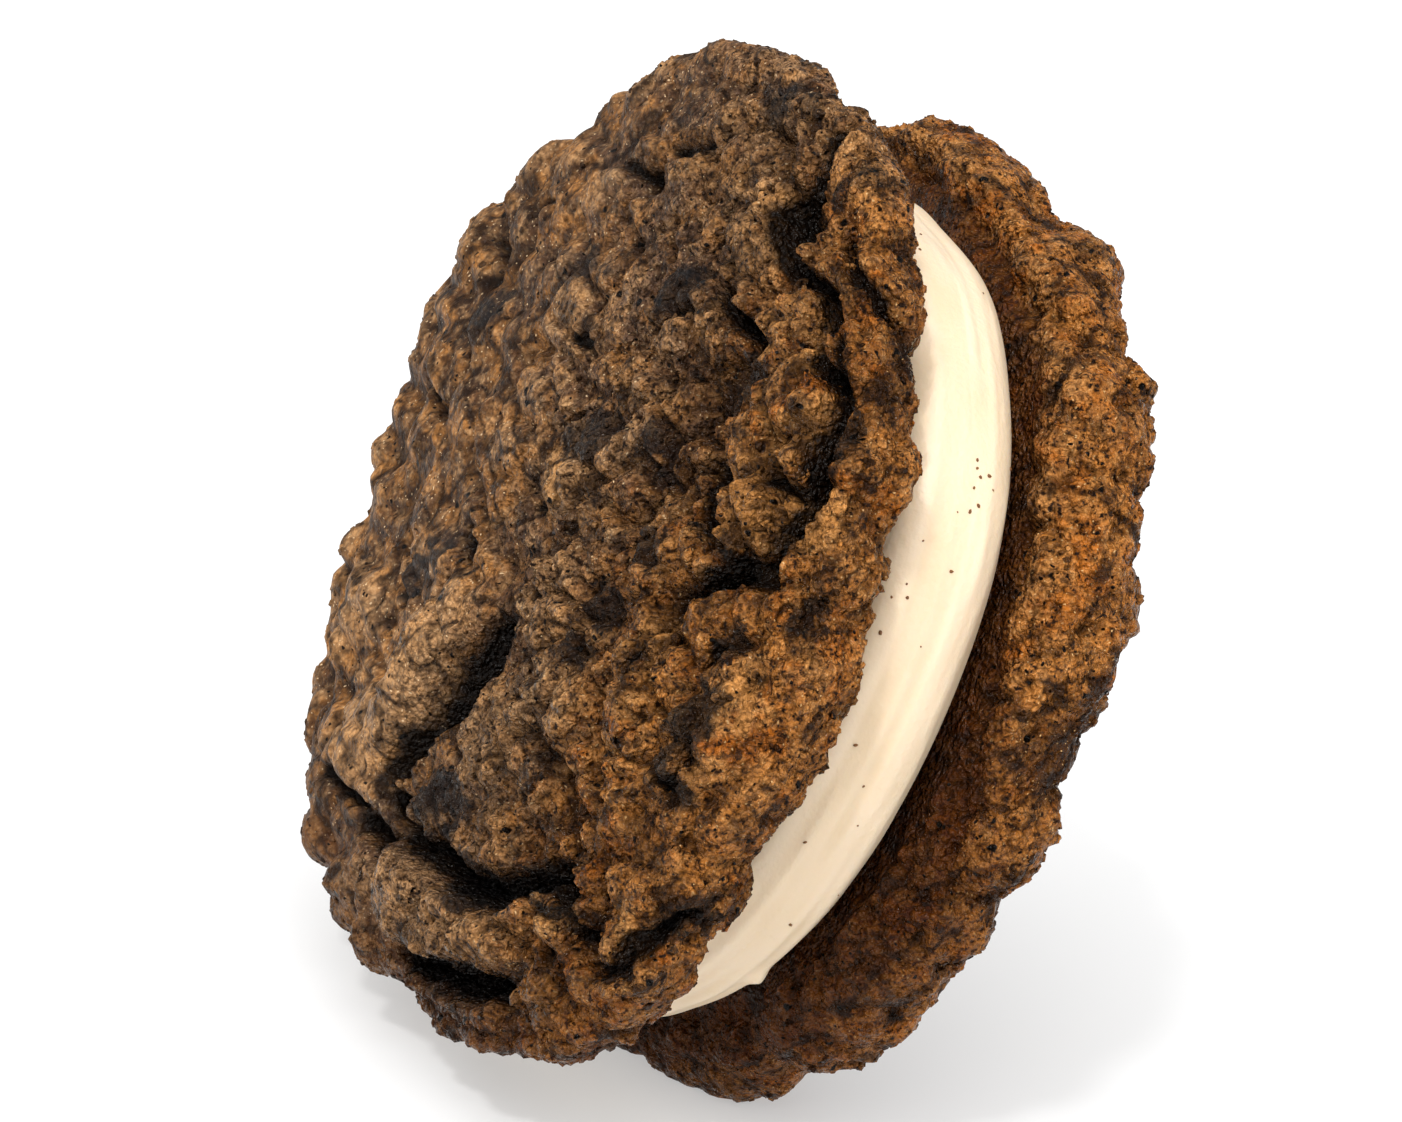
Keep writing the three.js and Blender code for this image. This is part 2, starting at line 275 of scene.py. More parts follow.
def section(body):
    """Section from the middle of the outer face to the middle of the inner face, as radius, height,
    outward normal and distance along it. Each half is (r / rim)^a + (z / height)^b = 1."""
    t = np.linspace(0, np.pi / 2, CURVE_STEPS)
    halves = []
    for height, (a, b) in ((body["dome"], body["dome_curve"]), (-body["belly"], body["belly_curve"])):
        halves.append((body["rim"] * np.sin(t) ** (2 / a), height * np.abs(np.cos(t)) ** (2 / b)))
    r = np.concatenate([halves[0][0], halves[1][0][-2::-1]])
    z = np.concatenate([halves[0][1], halves[1][1][-2::-1]])
    along = np.concatenate([[0], np.cumsum(np.hypot(np.diff(r), np.diff(z)))])
    even = np.linspace(0, along[-1], EVEN_STEPS)
    r, z = np.interp(even, along, r), np.interp(even, along, z)
    dr, dz = np.gradient(r), np.gradient(z)
    length = np.hypot(dr, dz)
    return dict(r=r, z=z, nr=-dz / length, nz=dr / length, along=even)


def plain_skin(body, along, angle):
    """The plain body at distances along its section, one a row, and angles round it, one a column: the
    section's values in each row, the points, and their outward normals."""
    cut = body["section"]
    at = {key: np.interp(along, cut["along"], value)[:, None] for key, value in cut.items()}
    r = at["r"] * outline(body, angle) / body["rim"]
    points = np.stack([r * np.cos(angle), r * np.sin(angle), at["z"] + 0 * r], axis=-1)
    normals = np.stack([at["nr"] * np.cos(angle), at["nr"] * np.sin(angle), at["nz"] + 0 * r], axis=-1)
    return at, points, normals


for name, body in (("front", FRONT), ("rear", REAR), ("cream", CREAM)):
    body["section"] = section(body)
    print(name, "section length, mm:", round(float(body["section"]["along"][-1]), 1))

# %% [markdown]
# ## Relief placed one by one
# The eye knows a cookie by its big cracks and lobes. Each is one row of numbers on the outer face,
# peeled flat from its centre over the rim. A crease is an arc with a steep sided groove, a lobe is a
# smooth oval dome, a scallop is a lobe on the shoulder of the rim, and a pit is a round hole. A crack
# is a narrow slot along a path, and most of them run where a crease has already drawn the dough apart.

# %% Creases: x, y, heading, length, bend, half width, depth
FRONT["creases"] = [
    (17, 37, -90, 11, 30, 1.3, 2.1), (20.5, 25.2, 10, 12, -75, 1.3, 2.1),
    (32.5, 20.5, -55, 8, -10, 1.2, 2.0), (36, 13.5, -95, 9.5, 10, 1.3, 2.3),
    (36, 5, 175, 9, 50, 1.2, 2.0), (35, 12, 180, 6, 0, 1.0, 1.4), (26.5, -1, -100, 8, 0, 1.1, 1.3),
    (22, -10, -75, 10.5, -5, 1.2, 1.1), (23.5, 9.5, -45, 5.5, 0, 1.0, 1.5),
    (10, 24.5, -30, 6.5, 0, 1.2, 1.5), (1.5, -8.5, -122, 19.5, 8, 2.6, 3.9),
    (-8, -28.8, -2, 33, 32, 1.5, 2.4), (24, -20.8, -5, 8, -35, 1.2, 1.4),
    (-16, -31.5, 3, 13, 0, 1.6, 2.1), (-2, -38.5, 8, 27, 30, 1.6, 2.2),
    (-22, -26.5, -12, 14, -12, 1.4, 1.8), (-16, -4.5, -5, 12, -10, 1.3, 1.5),
    (0.7, 9.4, 190, 14, 180, 1.1, 1.1), (5, 0.5, -95, 8, 80, 1.0, 0.9),
    (-4, 33.5, -10, 7, 0, 1.2, 1.3), (-14, 28.5, 0, 11, 0, 1.2, 1.3), (-33, 20, -20, 10, 10, 1.3, 1.5),
    (-37, 4.5, 0, 12, -10, 1.3, 1.5), (-37, -8, -20, 12, 0, 1.3, 1.3),
]
REAR["creases"] = [
    (-22, 25, -70, 20, 40, 1.6, 2.2), (-16, 6, -40, 24, 60, 1.5, 2.0), (4, -12, 60, 22, -70, 1.5, 2.0),
    (10, 22, 150, 20, 40, 1.5, 1.9), (-34, -8, -60, 16, 20, 1.4, 1.6), (20, -24, 100, 18, -30, 1.5, 1.8),
    (30, 18, -120, 12, 30, 1.4, 1.5),
]

# %% Lobes: x, y, direction, half length, half width, height
FRONT["lobes"] = [
    (-9, -14, 65, 9, 5, 1.5), (-13, -20, 65, 12, 8, 1.5), (4, -32, 18, 18, 5, 1.5),
    (15, -27.5, 25, 9, 4, 1.1), (1.5, 5, 0, 5.5, 5, 1.3), (8, -3, -40, 6.5, 5, 0.9),
    (12, -14, 50, 14, 9, 0.8), (30, 10, -5, 6.5, 4.2, 2.0), (27, 16, -10, 7, 5, 1.0),
    (24.5, 22.3, -20, 5.5, 3.4, 1.2), (13, 29, -15, 9, 5, 1.2), (27, -7, 80, 7, 5.5, 1.3),
    (28, -14, 0, 6, 5, 1.1), (36, -6, 80, 6, 5, 0.9), (26, -27, 20, 6, 5, 1.1),
    (34, -24, 40, 5.5, 4.5, 1.0), (-27, -14, 20, 9, 6, 0.9), (37.5, 24.5, 123, 9, 6, -1.3),
]
REAR["lobes"] = [
    (-6, 12, 30, 12, 8, 1.2), (14, 4, 70, 11, 8, 1.1), (-20, -14, 120, 12, 7, 1.2),
    (8, -26, 10, 12, 7, 1.1), (-8, 32, 160, 11, 6, 1.0), (28, 20, 50, 10, 6, 1.0),
]

# %% Scallops: direction, half length, half width, height
FRONT["scallops"] = [
    (60, 7, 4.5, 0.6), (112, 5, 4, 0.5), (127, 5, 4, 0.5), (139, 5, 4, 0.6), (151, 5, 4, 0.2),
    (163, 5, 4, 0.4), (175, 5, 4.5, 0.9), (186, 5, 4.5, 1.1), (198, 5.5, 4.5, 2.1), (210, 5, 4.5, 1.1),
    (222, 5, 4.5, 0.6), (236, 5, 4.5, 1.2), (250, 6, 4.5, 1.7), (264, 6, 4.5, 1.3),
]
REAR["scallops"] = [
    (20, 7, 4.5, 0.8), (65, 7, 4.5, 0.9), (108, 7, 4.5, 1.2), (122, 7, 4.5, -0.6), (178, 9, 7, -1.1),
    (212, 11, 7, -0.8), (252, 10, 8, 1.8), (289, 12, 9, -2.3), (335, 8, 4.5, 0.8),
]

# %% Pits: x, y, radius, depth
FRONT["pits"] = [
    (28.5, 0.5, 2.3, 3.6), (26.3, 0, 1.6, 2.4), (27.5, 6, 1.4, 2.2), (18.5, 30, 1.6, 1.6),
    (14, -33.5, 2.0, 2.2), (-5.5, 28, 1.6, 2.4), (35.5, 6, 1.6, 1.6), (-3, -15, 3.2, 1.4),
]
REAR["pits"] = [(-12, 18, 1.8, 1.8), (10, 8, 1.8, 1.6), (22, -6, 1.8, 1.8)]

# %% Cracks: half width, depth, and the places it runs through
FRONT["cracks"] = [
    (1.0, 2.2, [(17, 38.5), (17.3, 36), (17.6, 33), (17.2, 30), (18.6, 27.5), (20.6, 25.2)]),
    (0.8, 1.8, [(20.6, 25.2), (22.6, 25.6), (24.7, 25.8), (27, 24.9), (28.6, 23.2), (29.6, 20.8), (32, 20.1),
                (34, 19.6)]),
    (0.9, 2.4, [(34, 19.6), (34.6, 17.3), (35.6, 15), (35.9, 12.8), (35.7, 10.3), (36.1, 8), (35.8, 5.6)]),
    (0.5, 1.2, [(35.6, 12.2), (33, 11.9), (30.7, 11.9)]),
    (0.9, 2.0, [(35.8, 5.6), (33.6, 5), (31.5, 3.5), (30, 2.2), (28.5, 1), (26.8, -0.6)]),
    (0.5, 0.9, [(26.8, -0.6), (26.3, -2.8), (25.5, -5.5), (24.8, -8.8)]),
    (0.7, 1.5, [(20.6, 10.8), (22.4, 9.7), (24, 8.6), (25.4, 7.2), (27, 6.3)]),
    (0.5, 1.0, [(33.5, 5.2), (30.5, 6), (28.5, 6.2)]),
    (0.8, 1.5, [(10.2, 24.3), (12.5, 22.7), (15.5, 21.4), (18.5, 20.5), (21, 19.5)]),
    (0.5, 1.0, [(30.4, 23.5), (31.4, 22), (32.4, 20.6)]),
    (0.6, 1.2, [(23.5, 29.9), (26.4, 28.3), (29.3, 27.2), (31.6, 26.5), (34, 26.3)]),
    (0.5, 0.8, [(-12.9, 28.6), (-9.3, 28.4), (-6.4, 27.9), (-3.9, 27.1)]),
    (0.5, 0.8, [(-5.7, 30.2), (-2.9, 30.7), (0, 31.6), (2.4, 32.8)]),
    (0.5, 0.9, [(0.9, 9.8), (-1.2, 8), (-2.4, 5.4), (-2.3, 2.6), (-0.5, 0.6)]),
    (0.45, 0.8, [(6.3, 1.7), (5.3, -0.2), (5, -2), (5.9, -4), (7.8, -5.4)]),
    (0.45, 0.8, [(16.9, 3), (18, 1.2), (19.7, -0.2)]),
    (1.0, 2.2, [(26, -22.2), (23, -20.6), (20.3, -21.6), (16.2, -24), (12.8, -25.8), (9.5, -26.7), (6, -27.3),
                (2, -28.1), (-2, -28.8), (-6, -28.3), (-9.5, -27.6)]),
    (1.1, 2.2, [(19, -30.6), (16, -32.2), (13.2, -33.5), (9.9, -34.8), (6, -36.5), (1, -38.2)]),
    (0.6, 1.4, [(24, -20.6), (26.2, -22.3), (28.2, -23.8), (30.5, -24.6), (32.6, -24), (34.4, -21.8),
                (36.5, -20.2), (38.5, -18.6)]),
    (0.5, 1.0, [(20.8, -24), (23.5, -23.1), (26.4, -23.3)]),
    (1.5, 2.2, [(1.2, -8.6), (-1, -11.8), (-2.4, -15), (-3.4, -18), (-5.4, -20.8), (-8.2, -23.6),
                (-10.8, -26.2)]),
    (0.7, 1.3, [(-12.2, -3.8), (-10, -4.6), (-7.9, -5.4)]),
    (0.6, 1.2, [(-20, -10), (-18.3, -10.4), (-16.5, -11.4)]),
    (0.8, 1.5, [(-14, -31.2), (-11, -31.1), (-7.5, -32.1), (-3.9, -32.6)]),
    (0.7, 1.4, [(-23, -27.1), (-19.3, -27.9), (-16.4, -28.9), (-12.9, -29.6)]),
    (0.5, 0.7, [(-31, 4.8), (-29, 4.4), (-27, 4.1)]),
    (0.5, 0.7, [(-25.7, 3.9), (-24.4, 3.6), (-23.2, 3.6)]),
    (0.5, 0.7, [(-30.7, 17.9), (-27.8, 17.4), (-25.6, 16.2), (-27, 14)]),
    (0.5, 0.7, [(-23.8, 22), (-22.5, 23.4), (-20.4, 23.9)]),
    (0.5, 0.9, [(-7.1, 15), (-4.5, 14.2), (-2.1, 13.9)]),
    (0.5, 1.0, [(32, -10.2), (34.5, -11.3), (36, -9.5), (36.2, -7)]),
    (0.5, 1.0, [(34.4, -0.6), (33.5, -3), (34.6, -5.4)]),
    (0.5, 0.9, [(23.4, -15.6), (22.8, -17.6), (24, -20.2)]),
    (0.5, 0.8, [(0, 25.8), (2.5, 24.6), (4.2, 22.8)]),
]
REAR["cracks"] = [
    (0.8, 1.6, [(-24, 30), (-20, 24), (-15, 20), (-13, 14), (-8, 8)]),
    (0.7, 1.4, [(4, 30), (8, 24), (6, 18), (10, 12), (16, 10)]),
    (0.8, 1.6, [(-34, -4), (-28, -9), (-22, -8), (-18, -14)]),
    (0.7, 1.4, [(-10, -30), (-4, -25), (4, -24), (10, -19), (18, -20)]),
    (0.6, 1.3, [(30, 20), (26, 14), (28, 8), (24, 2)]),
    (0.6, 1.2, [(-2, 2), (4, -2), (5, -8), (11, -11)]),
    (0.6, 1.2, [(30, -14), (24, -10), (22, -4)]),
]

# %% Cracks of the inner margin, on the inner face peeled flat from that side
FRONT["inner_cracks"] = [
    (0.6, 1.0, [(38, 4), (39.5, -2), (38.5, -8)]), (0.6, 1.0, [(-38, 6), (-39, -1), (-37.5, -8)]),
]
REAR["inner_cracks"] = [
    (0.6, 1.1, [(36.5, 3.3), (36.7, 2.8), (36.6, 2.3)]),
    (0.5, 0.8, [(37.2, -8.4), (37.1, -9), (36.6, -9.6)]),
    (0.5, 0.8, [(34.9, 24.1), (35.3, 23.6), (35.3, 23)]),
    (0.6, 0.9, [(29, 30), (31.5, 31), (33, 33)]),
    (0.5, 0.8, [(37, -20), (38.5, -21), (40, -21)]),
    (0.6, 0.9, [(28, -32), (30, -34), (33, -34.5)]),
    (0.7, 1.0, [(30.3, 26.7), (31, 27.4), (31.4, 28.4)]),
    (0.5, 0.9, [(36, 19.4), (36.3, 19.9), (36.7, 20)]),
    (0.7, 1.0, [(39.8, 9.5), (39.6, 10.3), (40, 11.1)]),
    (0.5, 0.9, [(40, -2.8), (40.3, -3.4), (40.2, -4.1)]),
    (0.6, 1.0, [(36, -15.9), (35.6, -16.8), (35.9, -17.6)]),
    (0.6, 1.0, [(33.4, -25), (33.9, -26), (33.8, -27)]),
]

# %% [markdown]
# ## From rows of numbers to height
# Each kind of relief is one function of the place on the peeled-flat face. It could be a brush stroke in
# sculpt mode, but a formula keeps the same shape at any fineness of mesh, and the solids use it too. A
# path is worked out only within reach of its own middle, which saves most of the time.

# %% Cracks
CRACK_DEPTH = 1.35  # a crack is cut this much deeper than its row says, below the crease it runs in
RUN_OUT = 2.0  # the stretch at each end of a crack, in mm, over which it becomes shallow
RUBBLE_REACH = 3.2  # how far to its side a crack is strewn with rubble, in mm
PATH_STEPS, PATH_REACH = 24, 24


def path_distance(x, y, places):
    """Distance from a smooth path through the places, and the share of it passed: the path is a
    Catmull-Rom curve, stepped finely, and the nearest step counts."""
    p = np.array([places[0], *places, places[-1]], float)
    t = np.linspace(0, 1, PATH_STEPS, endpoint=False)[:, None]
    spans = [
        0.5 * (2 * b + (c - a) * t + (2 * a - 5 * b + 4 * c - d) * t**2 + (3 * b - a - 3 * c + d) * t**3)
        for a, b, c, d in zip(p, p[1:], p[2:], p[3:])
    ]
    steps = np.concatenate(spans + [p[-1:]])
    nearest, share = np.full(x.shape, 1e9), np.zeros(x.shape)
    for i, (px, py) in enumerate(steps):
        far = (x - px) ** 2 + (y - py) ** 2
        share = np.where(far < nearest, i / (len(steps) - 1), share)
        nearest = np.minimum(nearest, far)
    return np.sqrt(nearest), share


def crack(x, y, half_width, depth, places):
    """Depth of a crack, height of its lips, and how near each place is to it. The crack is a slot
    exp(-(off / half width)^3) with steep walls, each lip a Gaussian one millimetre past its edge, and
    all three run out at both ends."""
    middle_x, middle_y = np.mean(places, axis=0)
    close = (np.abs(x - middle_x) < PATH_REACH) & (np.abs(y - middle_y) < PATH_REACH)
    sunk, lip, near = np.zeros(x.shape), np.zeros(x.shape), np.zeros(x.shape)
    off, share = path_distance(x[close], y[close], places)
    length = np.linalg.norm(np.diff(places, axis=0), axis=1).sum()
    ends = np.clip(np.minimum(share, 1 - share) * length / RUN_OUT + 0.25, 0, 1)
    sunk[close] = CRACK_DEPTH * depth * ends * np.exp(-((off / half_width) ** 3))
    lip[close] = 0.16 * depth * ends * np.exp(-(((off - half_width - 1.0) / 0.9) ** 2))
    near[close] = ends * np.exp(-((off / RUBBLE_REACH) ** 2))
    return sunk, lip, near


# %% Creases, lobes, scallops and pits
CREASE_SHARE = 0.5  # the slots of the cracks make up the rest of a crease's depth
PIT_SHARE = 0.8  # a pit is cut to this share of the depth and radius in its row


def arc_distance(x, y, x0, y0, heading, length, bend):
    """Distance from an arc that starts at (x0, y0), and the share of the arc passed, in 0..1: polar
    coordinates about the arc's centre, with whatever lies past an end measured straight on."""
    h = np.radians(heading)
    radius = length / np.radians(bend if abs(bend) >= 1 else 1)
    cx, cy, turn = x0 - radius * np.sin(h), y0 + radius * np.cos(h), np.sign(radius)
    angle = np.arctan2(turn * (y - cy), turn * (x - cx)) - (h - np.pi / 2)
    share = np.arctan2(np.sin(angle), np.cos(angle)) * radius / length
    past = np.maximum(np.maximum(-share, share - 1), 0) * length
    return np.hypot(np.hypot(x - cx, y - cy) - abs(radius), past), np.clip(share, 0, 1)


def crease(x, y, x0, y0, heading, length, bend, half_width, depth):
    """Depth of a groove: exp(-(off / half width)^1.6), shallower towards both ends of its arc."""
    off, share = arc_distance(x, y, x0, y0, heading, length, bend)
    return depth * (1 - 0.6 * (2 * share - 1) ** 4) * np.exp(-((off / half_width) ** 1.6))


def oval(x, y, x0, y0, direction, half_length, half_width):
    """1 in the middle of an oval, falling to 0 at its edge as (1 - u^2 - v^2)^1.5."""
    c, s = np.cos(np.radians(direction)), np.sin(np.radians(direction))
    u = ((x - x0) * c + (y - y0) * s) / half_length
    v = ((y - y0) * c - (x - x0) * s) / half_width
    return np.maximum(0, 1 - u * u - v * v) ** 1.5


def placed_relief(body, x, y, shoulder):
    """Height of all lobes and scallops, and depth of all creases and pits, at peeled-flat places."""
    raised, sunk = np.zeros_like(x), np.zeros_like(x)
    for *place, height in body["lobes"]:
        raised += height * oval(x, y, *place)
    for direction, half_length, half_width, height in body["scallops"]:
        a = np.radians(direction)
        place = (shoulder * np.cos(a), shoulder * np.sin(a), direction + 90, half_length, half_width)
        raised += height * oval(x, y, *place)
    for row in body["creases"]:
        sunk += CREASE_SHARE * crease(x, y, *row)
    for px, py, radius, depth in body["pits"]:
        sunk += PIT_SHARE * depth * np.exp(-((np.hypot(x - px, y - py) / (PIT_SHARE * radius)) ** 2))
    return raised, sunk


# %% [markdown]
# ## Crust: cracks, folds and grain
# A baked crust has relief at every size: slow swells, folds the size of a fingertip, small knobs, and
# sugar grains under a millimetre. The solids share the swells, the folds, the lobes and the creases. The
# finer mesh adds the slots of the cracks, broken chunks of 2 to 5 mm, knobs of 2 mm and grains of 1 mm,
# because those still show in the outline. The mesh is a polar grid, rows along the section and columns
# round it, with few rows on the face that the cream hides.

# %% Relief of the crust: size and height in mm
SWELL, FOLDS, BUMPS, WANDER = (19, 1.1), (8.5, 1.1), (4.2, 0.5), (5, 1.1)
LUMPS, RUBBLE, KNOBS, GRAINS = (5.6, 0.9), (3.4, 0.6), (1.9, 0.36), (1.0, 0.22)

# %% Chunks: size, step between neighbours, depth and width of the crevices
BIG_CHUNKS, SMALL_CHUNKS = (5.0, 0.7, 1.35, 1.05), (2.3, 0.22, 0.35, 0.7)

# A turn that sets the lattice of the finer noises askew, so that no rows of cells show on the flat face.
ASKEW = np.linalg.qr(np.array([[2.0, 1, 0], [-1, 2, 1], [1, -1, 3]]))[0]

# %% The grid
COLUMNS, FINE_ROWS, HIDDEN_ROWS = 560, 165, 12
HIDDEN_RADIUS = 33.5  # inside this, in mm, the inner face lies under the cream


def cookie_grid(body):
    """Distances along the section, closely spaced wherever the crust shows, and angles round it."""
    cut = body["section"]
    hidden = cut["along"][(cut["z"] < 0) & (cut["r"] > HIDDEN_RADIUS)][-1]
    fine = np.linspace(0, hidden, FINE_ROWS + 1)[1:]
    coarse = np.linspace(hidden, cut["along"][-1], HIDDEN_ROWS + 1)[1:-1]
    along = np.concatenate([[0], fine, coarse, [cut["along"][-1]]])
    return along, np.arange(COLUMNS) * (2 * np.pi / COLUMNS)


# %% The cracks of a cookie


def cut_cracks(body, at, angle, base, raised):
    """Depth of all cracks, how near each place is to one, the raised height with their lips on it, and
    the outer face's places peeled flat. Noise of one and two millimetres jogs the places, so that
    edges are ragged. The inner face is peeled from its own middle, and seen from its own side."""
    ragged = [
        0.45 * noise(base, 1.9, body["seed"] + 30 + i) + 0.25 * noise(base, 0.9, body["seed"] + 32 + i)
        for i in (0, 1)
    ]
    outer = at["along"] * np.cos(angle) + ragged[0], at["along"] * np.sin(angle) + ragged[1]
    rest = body["section"]["along"][-1] - at["along"]
    inner = ragged[0] - rest * np.cos(angle), ragged[1] + rest * np.sin(angle)
    split, near = np.zeros_like(raised), np.zeros_like(raised)
    for place, rows in ((outer, body["cracks"]), (inner, body["inner_cracks"])):
        for row in rows:
            slot, lip, close = crack(*place, *row)
            split, near, raised = np.maximum(split, slot), np.maximum(near, close), raised + lip
    return split, near, raised, outer


# %% Chunks, rubble, knobs and grains


def fine_relief(body, broad, near, rough, broken):
    """Height of the finer relief on the broad form, and how deep in a gap each place lies, in 0..1.
    Rubble lies near the cracks, big chunks where the crust is broken, and the rest where it is rough.
    A gap is a crevice or the foot of a knob, unless a grain fills it."""
    seed, turned = body["seed"], broad @ ASKEW
    rubble = folds(turned, RUBBLE[0], seed + 5)
    knob = folds(turned, KNOBS[0], seed + 3)
    grain = beads(turned, GRAINS[0], seed + 4)
    patchy = 0.5 + 0.5 * noise(turned, 2.8, seed + 6)
    big, big_crevice = chunks(turned, *BIG_CHUNKS, seed + 60)
    small, small_crevice = chunks(turned, *SMALL_CHUNKS, seed + 80)
    grains = 2 * GRAINS[1] * patchy * (grain - 0.6)
    fine = RUBBLE[1] * near * rubble + rough * (KNOBS[1] * knob + grains + small)
    crevice = np.maximum(0.8 * broken * big_crevice, 0.6 * rough * small_crevice)
    valley = np.clip(np.maximum(crevice, 0.3 - knob), 0, 1) * (1 - 0.6 * grain * patchy)
    return fine + broken * big, valley


# %% [markdown]
# The whole crust adds these up. What lies under the cream stays plain, so that the two meet without a
# gap. The inner margin rolls over the cream in a soft lip, weaker on the lower half. The mesh also
# carries what its material needs to know at each point: how sunk in a crack, how deep in a gap, whether
# on a crest, in a hollow or on a ridge, which the material turns into painted shade and painted
# highlight, how much painted shade falls beside the cream and towards the bottom, how crisp, and how
# far out on the rim.

# %% The crust of a cookie
SHOULDER_SLOPE = 0.75  # the upward part of the normal where the face turns down to the rim
LIP_PLACE, LIP_WIDTH = 1.5, 1.6  # how far outside the cream the lip stands, and its half width, in mm
SEAM = (-36.2, -34.2)  # radii between which the painted shade of the seam beside the cream begins, with a minus sign


def crust(body):
    """Points of a cookie's surface, the facts for its material, and the places peeled flat. The plain
    section is pushed out along its normal by swells, folds, lobes and the lip, and in by creases,
    cracks and pits, and the finer relief stands on that."""
    seed, cut = body["seed"], body["section"]
    along, angle = cookie_grid(body)
    at, base, normal = plain_skin(body, along, angle)
    inside = at["z"] < 0
    shoulder = cut["along"][cut["nz"] > SHOULDER_SLOPE][-1]
    stray = [WANDER[1] * noise(base, WANDER[0], seed + 20 + i) for i in (0, 1)]
    x, y = at["along"] * np.cos(angle) + stray[0], at["along"] * np.sin(angle) + stray[1]

    raised, sunk = placed_relief(body, x, y, shoulder)
    split, near, raised, flat = cut_cracks(body, at, angle, base, raised)
    lower = smoothstep(-y, -14, 2)
    roll = np.exp(-(((at["r"] - CREAM["rim"] - LIP_PLACE) / LIP_WIDTH) ** 2))
    roll = roll * (0.8 + 0.6 * noise(base, 6, seed + 10))
    raised = raised + body["roll"] * inside * roll * (1 - 0.8 * lower)
    sunk = sunk + split
    lumps = raised - sunk + FOLDS[1] * folds(base, FOLDS[0], seed + 1)
    lumps += BUMPS[1] * folds(base, BUMPS[0], seed + 2)
    lumps += LUMPS[1] * folds(base @ ASKEW, LUMPS[0], seed + 9) * np.maximum(at["nz"], 0)
    bedded = np.where(inside, smoothstep(at["r"], CREAM["rim"] - 1.9, CREAM["rim"]), 1)
    height = SWELL[1] * noise(base, SWELL[0], seed) + lumps
    broad = base + (height * bedded)[..., None] * normal

    crumbly = smoothstep(x, *body["crumbly"]) * (0.6 + 0.4 * noise(base, 11, seed + 8))
    crisp = 0.3 + 0.7 * smoothstep(x, *body["crisp"])
    outermost = smoothstep(at["r"], 0.9 * body["rim"], body["rim"])
    rough = np.clip(0.35 + 0.65 * np.maximum(near, crumbly), 0, 1) * (1 - 0.6 * outermost) * crisp
    broken = np.clip(crumbly + 0.2, 0, 1) * (1 - 0.6 * outermost) * body["broken"] * crisp
    fine, valley = fine_relief(body, broad, near, rough, broken)
    points = broad + (fine * (0.15 + 0.85 * bedded))[..., None] * normal

    # Painted shade: darker towards the bottom of the face, and in a seam beside the cream that widens on the
    # lower half.
    low_shade = smoothstep(-y, *body["low_shade"]) * smoothstep(-at["z"], *body["low_shade_side"])
    torn = 0.7 * noise(base, 2.5, seed + 12) + 2.6 * lower
    seam = inside * smoothstep(torn - at["r"], *SEAM)
    # The material turns sunk, valley and hollow into painted shade, and crest and ridge into painted
    # highlight.
    facts = dict(
        edge=outermost * body["bright_edge"] * smoothstep(-x * body["broken"], -12, 20),
        sunk=np.clip(np.maximum(split / 1.3, sunk / 3.0), 0, 1) * bedded,
        valley=valley,
        crest=smoothstep(fine, 0.1, 0.75),
        hollow=smoothstep(-lumps, -0.1, 1.1) * bedded,
        ridge=smoothstep(lumps, 0.3, 1.5),
        seam_and_low_shade=np.clip(0.9 * seam + 0.7 * low_shade, 0, 1),
        crisp=crisp,
        outermost=outermost + 0 * x,
    )
    return points, facts, flat


# %% [markdown]
# Turning a polar grid into a mesh is the same for every round body: quads between neighbouring rings,
# a fan of triangles at each pole, and the last column joined to the first, so that the skin is closed.

# %% From grid to mesh


def new_piece(name, points, faces, attributes):
    """An object at the origin, shaded smooth, from points in millimetres, their faces, and for each
    attribute one value a point."""
    mesh = bpy.data.meshes.new(name)
    mesh.from_pydata((points * MM).tolist(), [], faces)
    mesh.shade_smooth()
    for key, values in attributes.items():
        mesh.attributes.new(key, "FLOAT", "POINT").data.foreach_set("value", values.astype(np.float32))
    made = bpy.data.objects.new(name, mesh)
    bpy.context.scene.collection.objects.link(made)
    print(name, "has", sum(len(face) - 2 for face in faces), "triangles")
    return made


def unrolled(rings):
    """One row for each point of the mesh: the first pole, the rings in between, and the last pole."""
    return np.concatenate([rings[:1, 0], rings[1:-1].reshape(-1, *rings.shape[2:]), rings[-1:, 0]])


def closed_mesh(name, rings, attributes):
    """A mesh from rings of points whose first and last rings are single points, each given once as a
    whole ring. Quads run ring by ring, and fans of triangles close the two poles."""
    rows, columns = rings.shape[0] - 2, rings.shape[1]
    first = 1 + np.arange(columns)
    second = 1 + (np.arange(columns) + 1) % columns
    step = (np.arange(rows - 1) * columns)[:, None]
    quads = np.stack([first + step, first + step + columns, second + step + columns, second + step], -1)
    to_last = (rows - 1) * columns
    top = np.stack([np.zeros(columns, int), first, second], -1)
    bottom = np.stack([np.full(columns, rows * columns + 1), second + to_last, first + to_last], -1)
    faces = top.tolist() + quads.reshape(-1, 4).tolist() + bottom.tolist()
    spread = {key: unrolled(values) for key, values in attributes.items()}
    return new_piece(name, unrolled(rings), faces, spread)


# %% [markdown]
# ## Crumb beads
# Close up, the crust is a crust of moist beads under a millimetre across, and they are what makes its
# outline ragged. Each is a twenty-faced ball, dented at random, squashed a little and sunk by two
# fifths of its radius. They are scattered by area, more on the rim, fewer in the cracks and where the
# crust is smooth, and none under the cream. Instances would be lighter, but joined meshes survive an
# export.

# %% Beads
BEAD_COUNT, BEAD_RADIUS, BEAD_SINK = 9600, (0.2, 0.5), 0.4
BEAD_SKEW = 1.4  # a power above 1 makes more of the beads small
BEAD_REACH = 1.4  # the longest half-length of a bead, in radii
BEAD_STRETCH = ((0.9, BEAD_REACH), (0.8, 1.1), (0.7, 1.0))  # along, across and out of the crust
BEAD_DENT = (0.78, 1.15)
BALL_CORNERS, BALL_EDGE = 12, 2.1  # an edge of the unscaled ball is 2 long


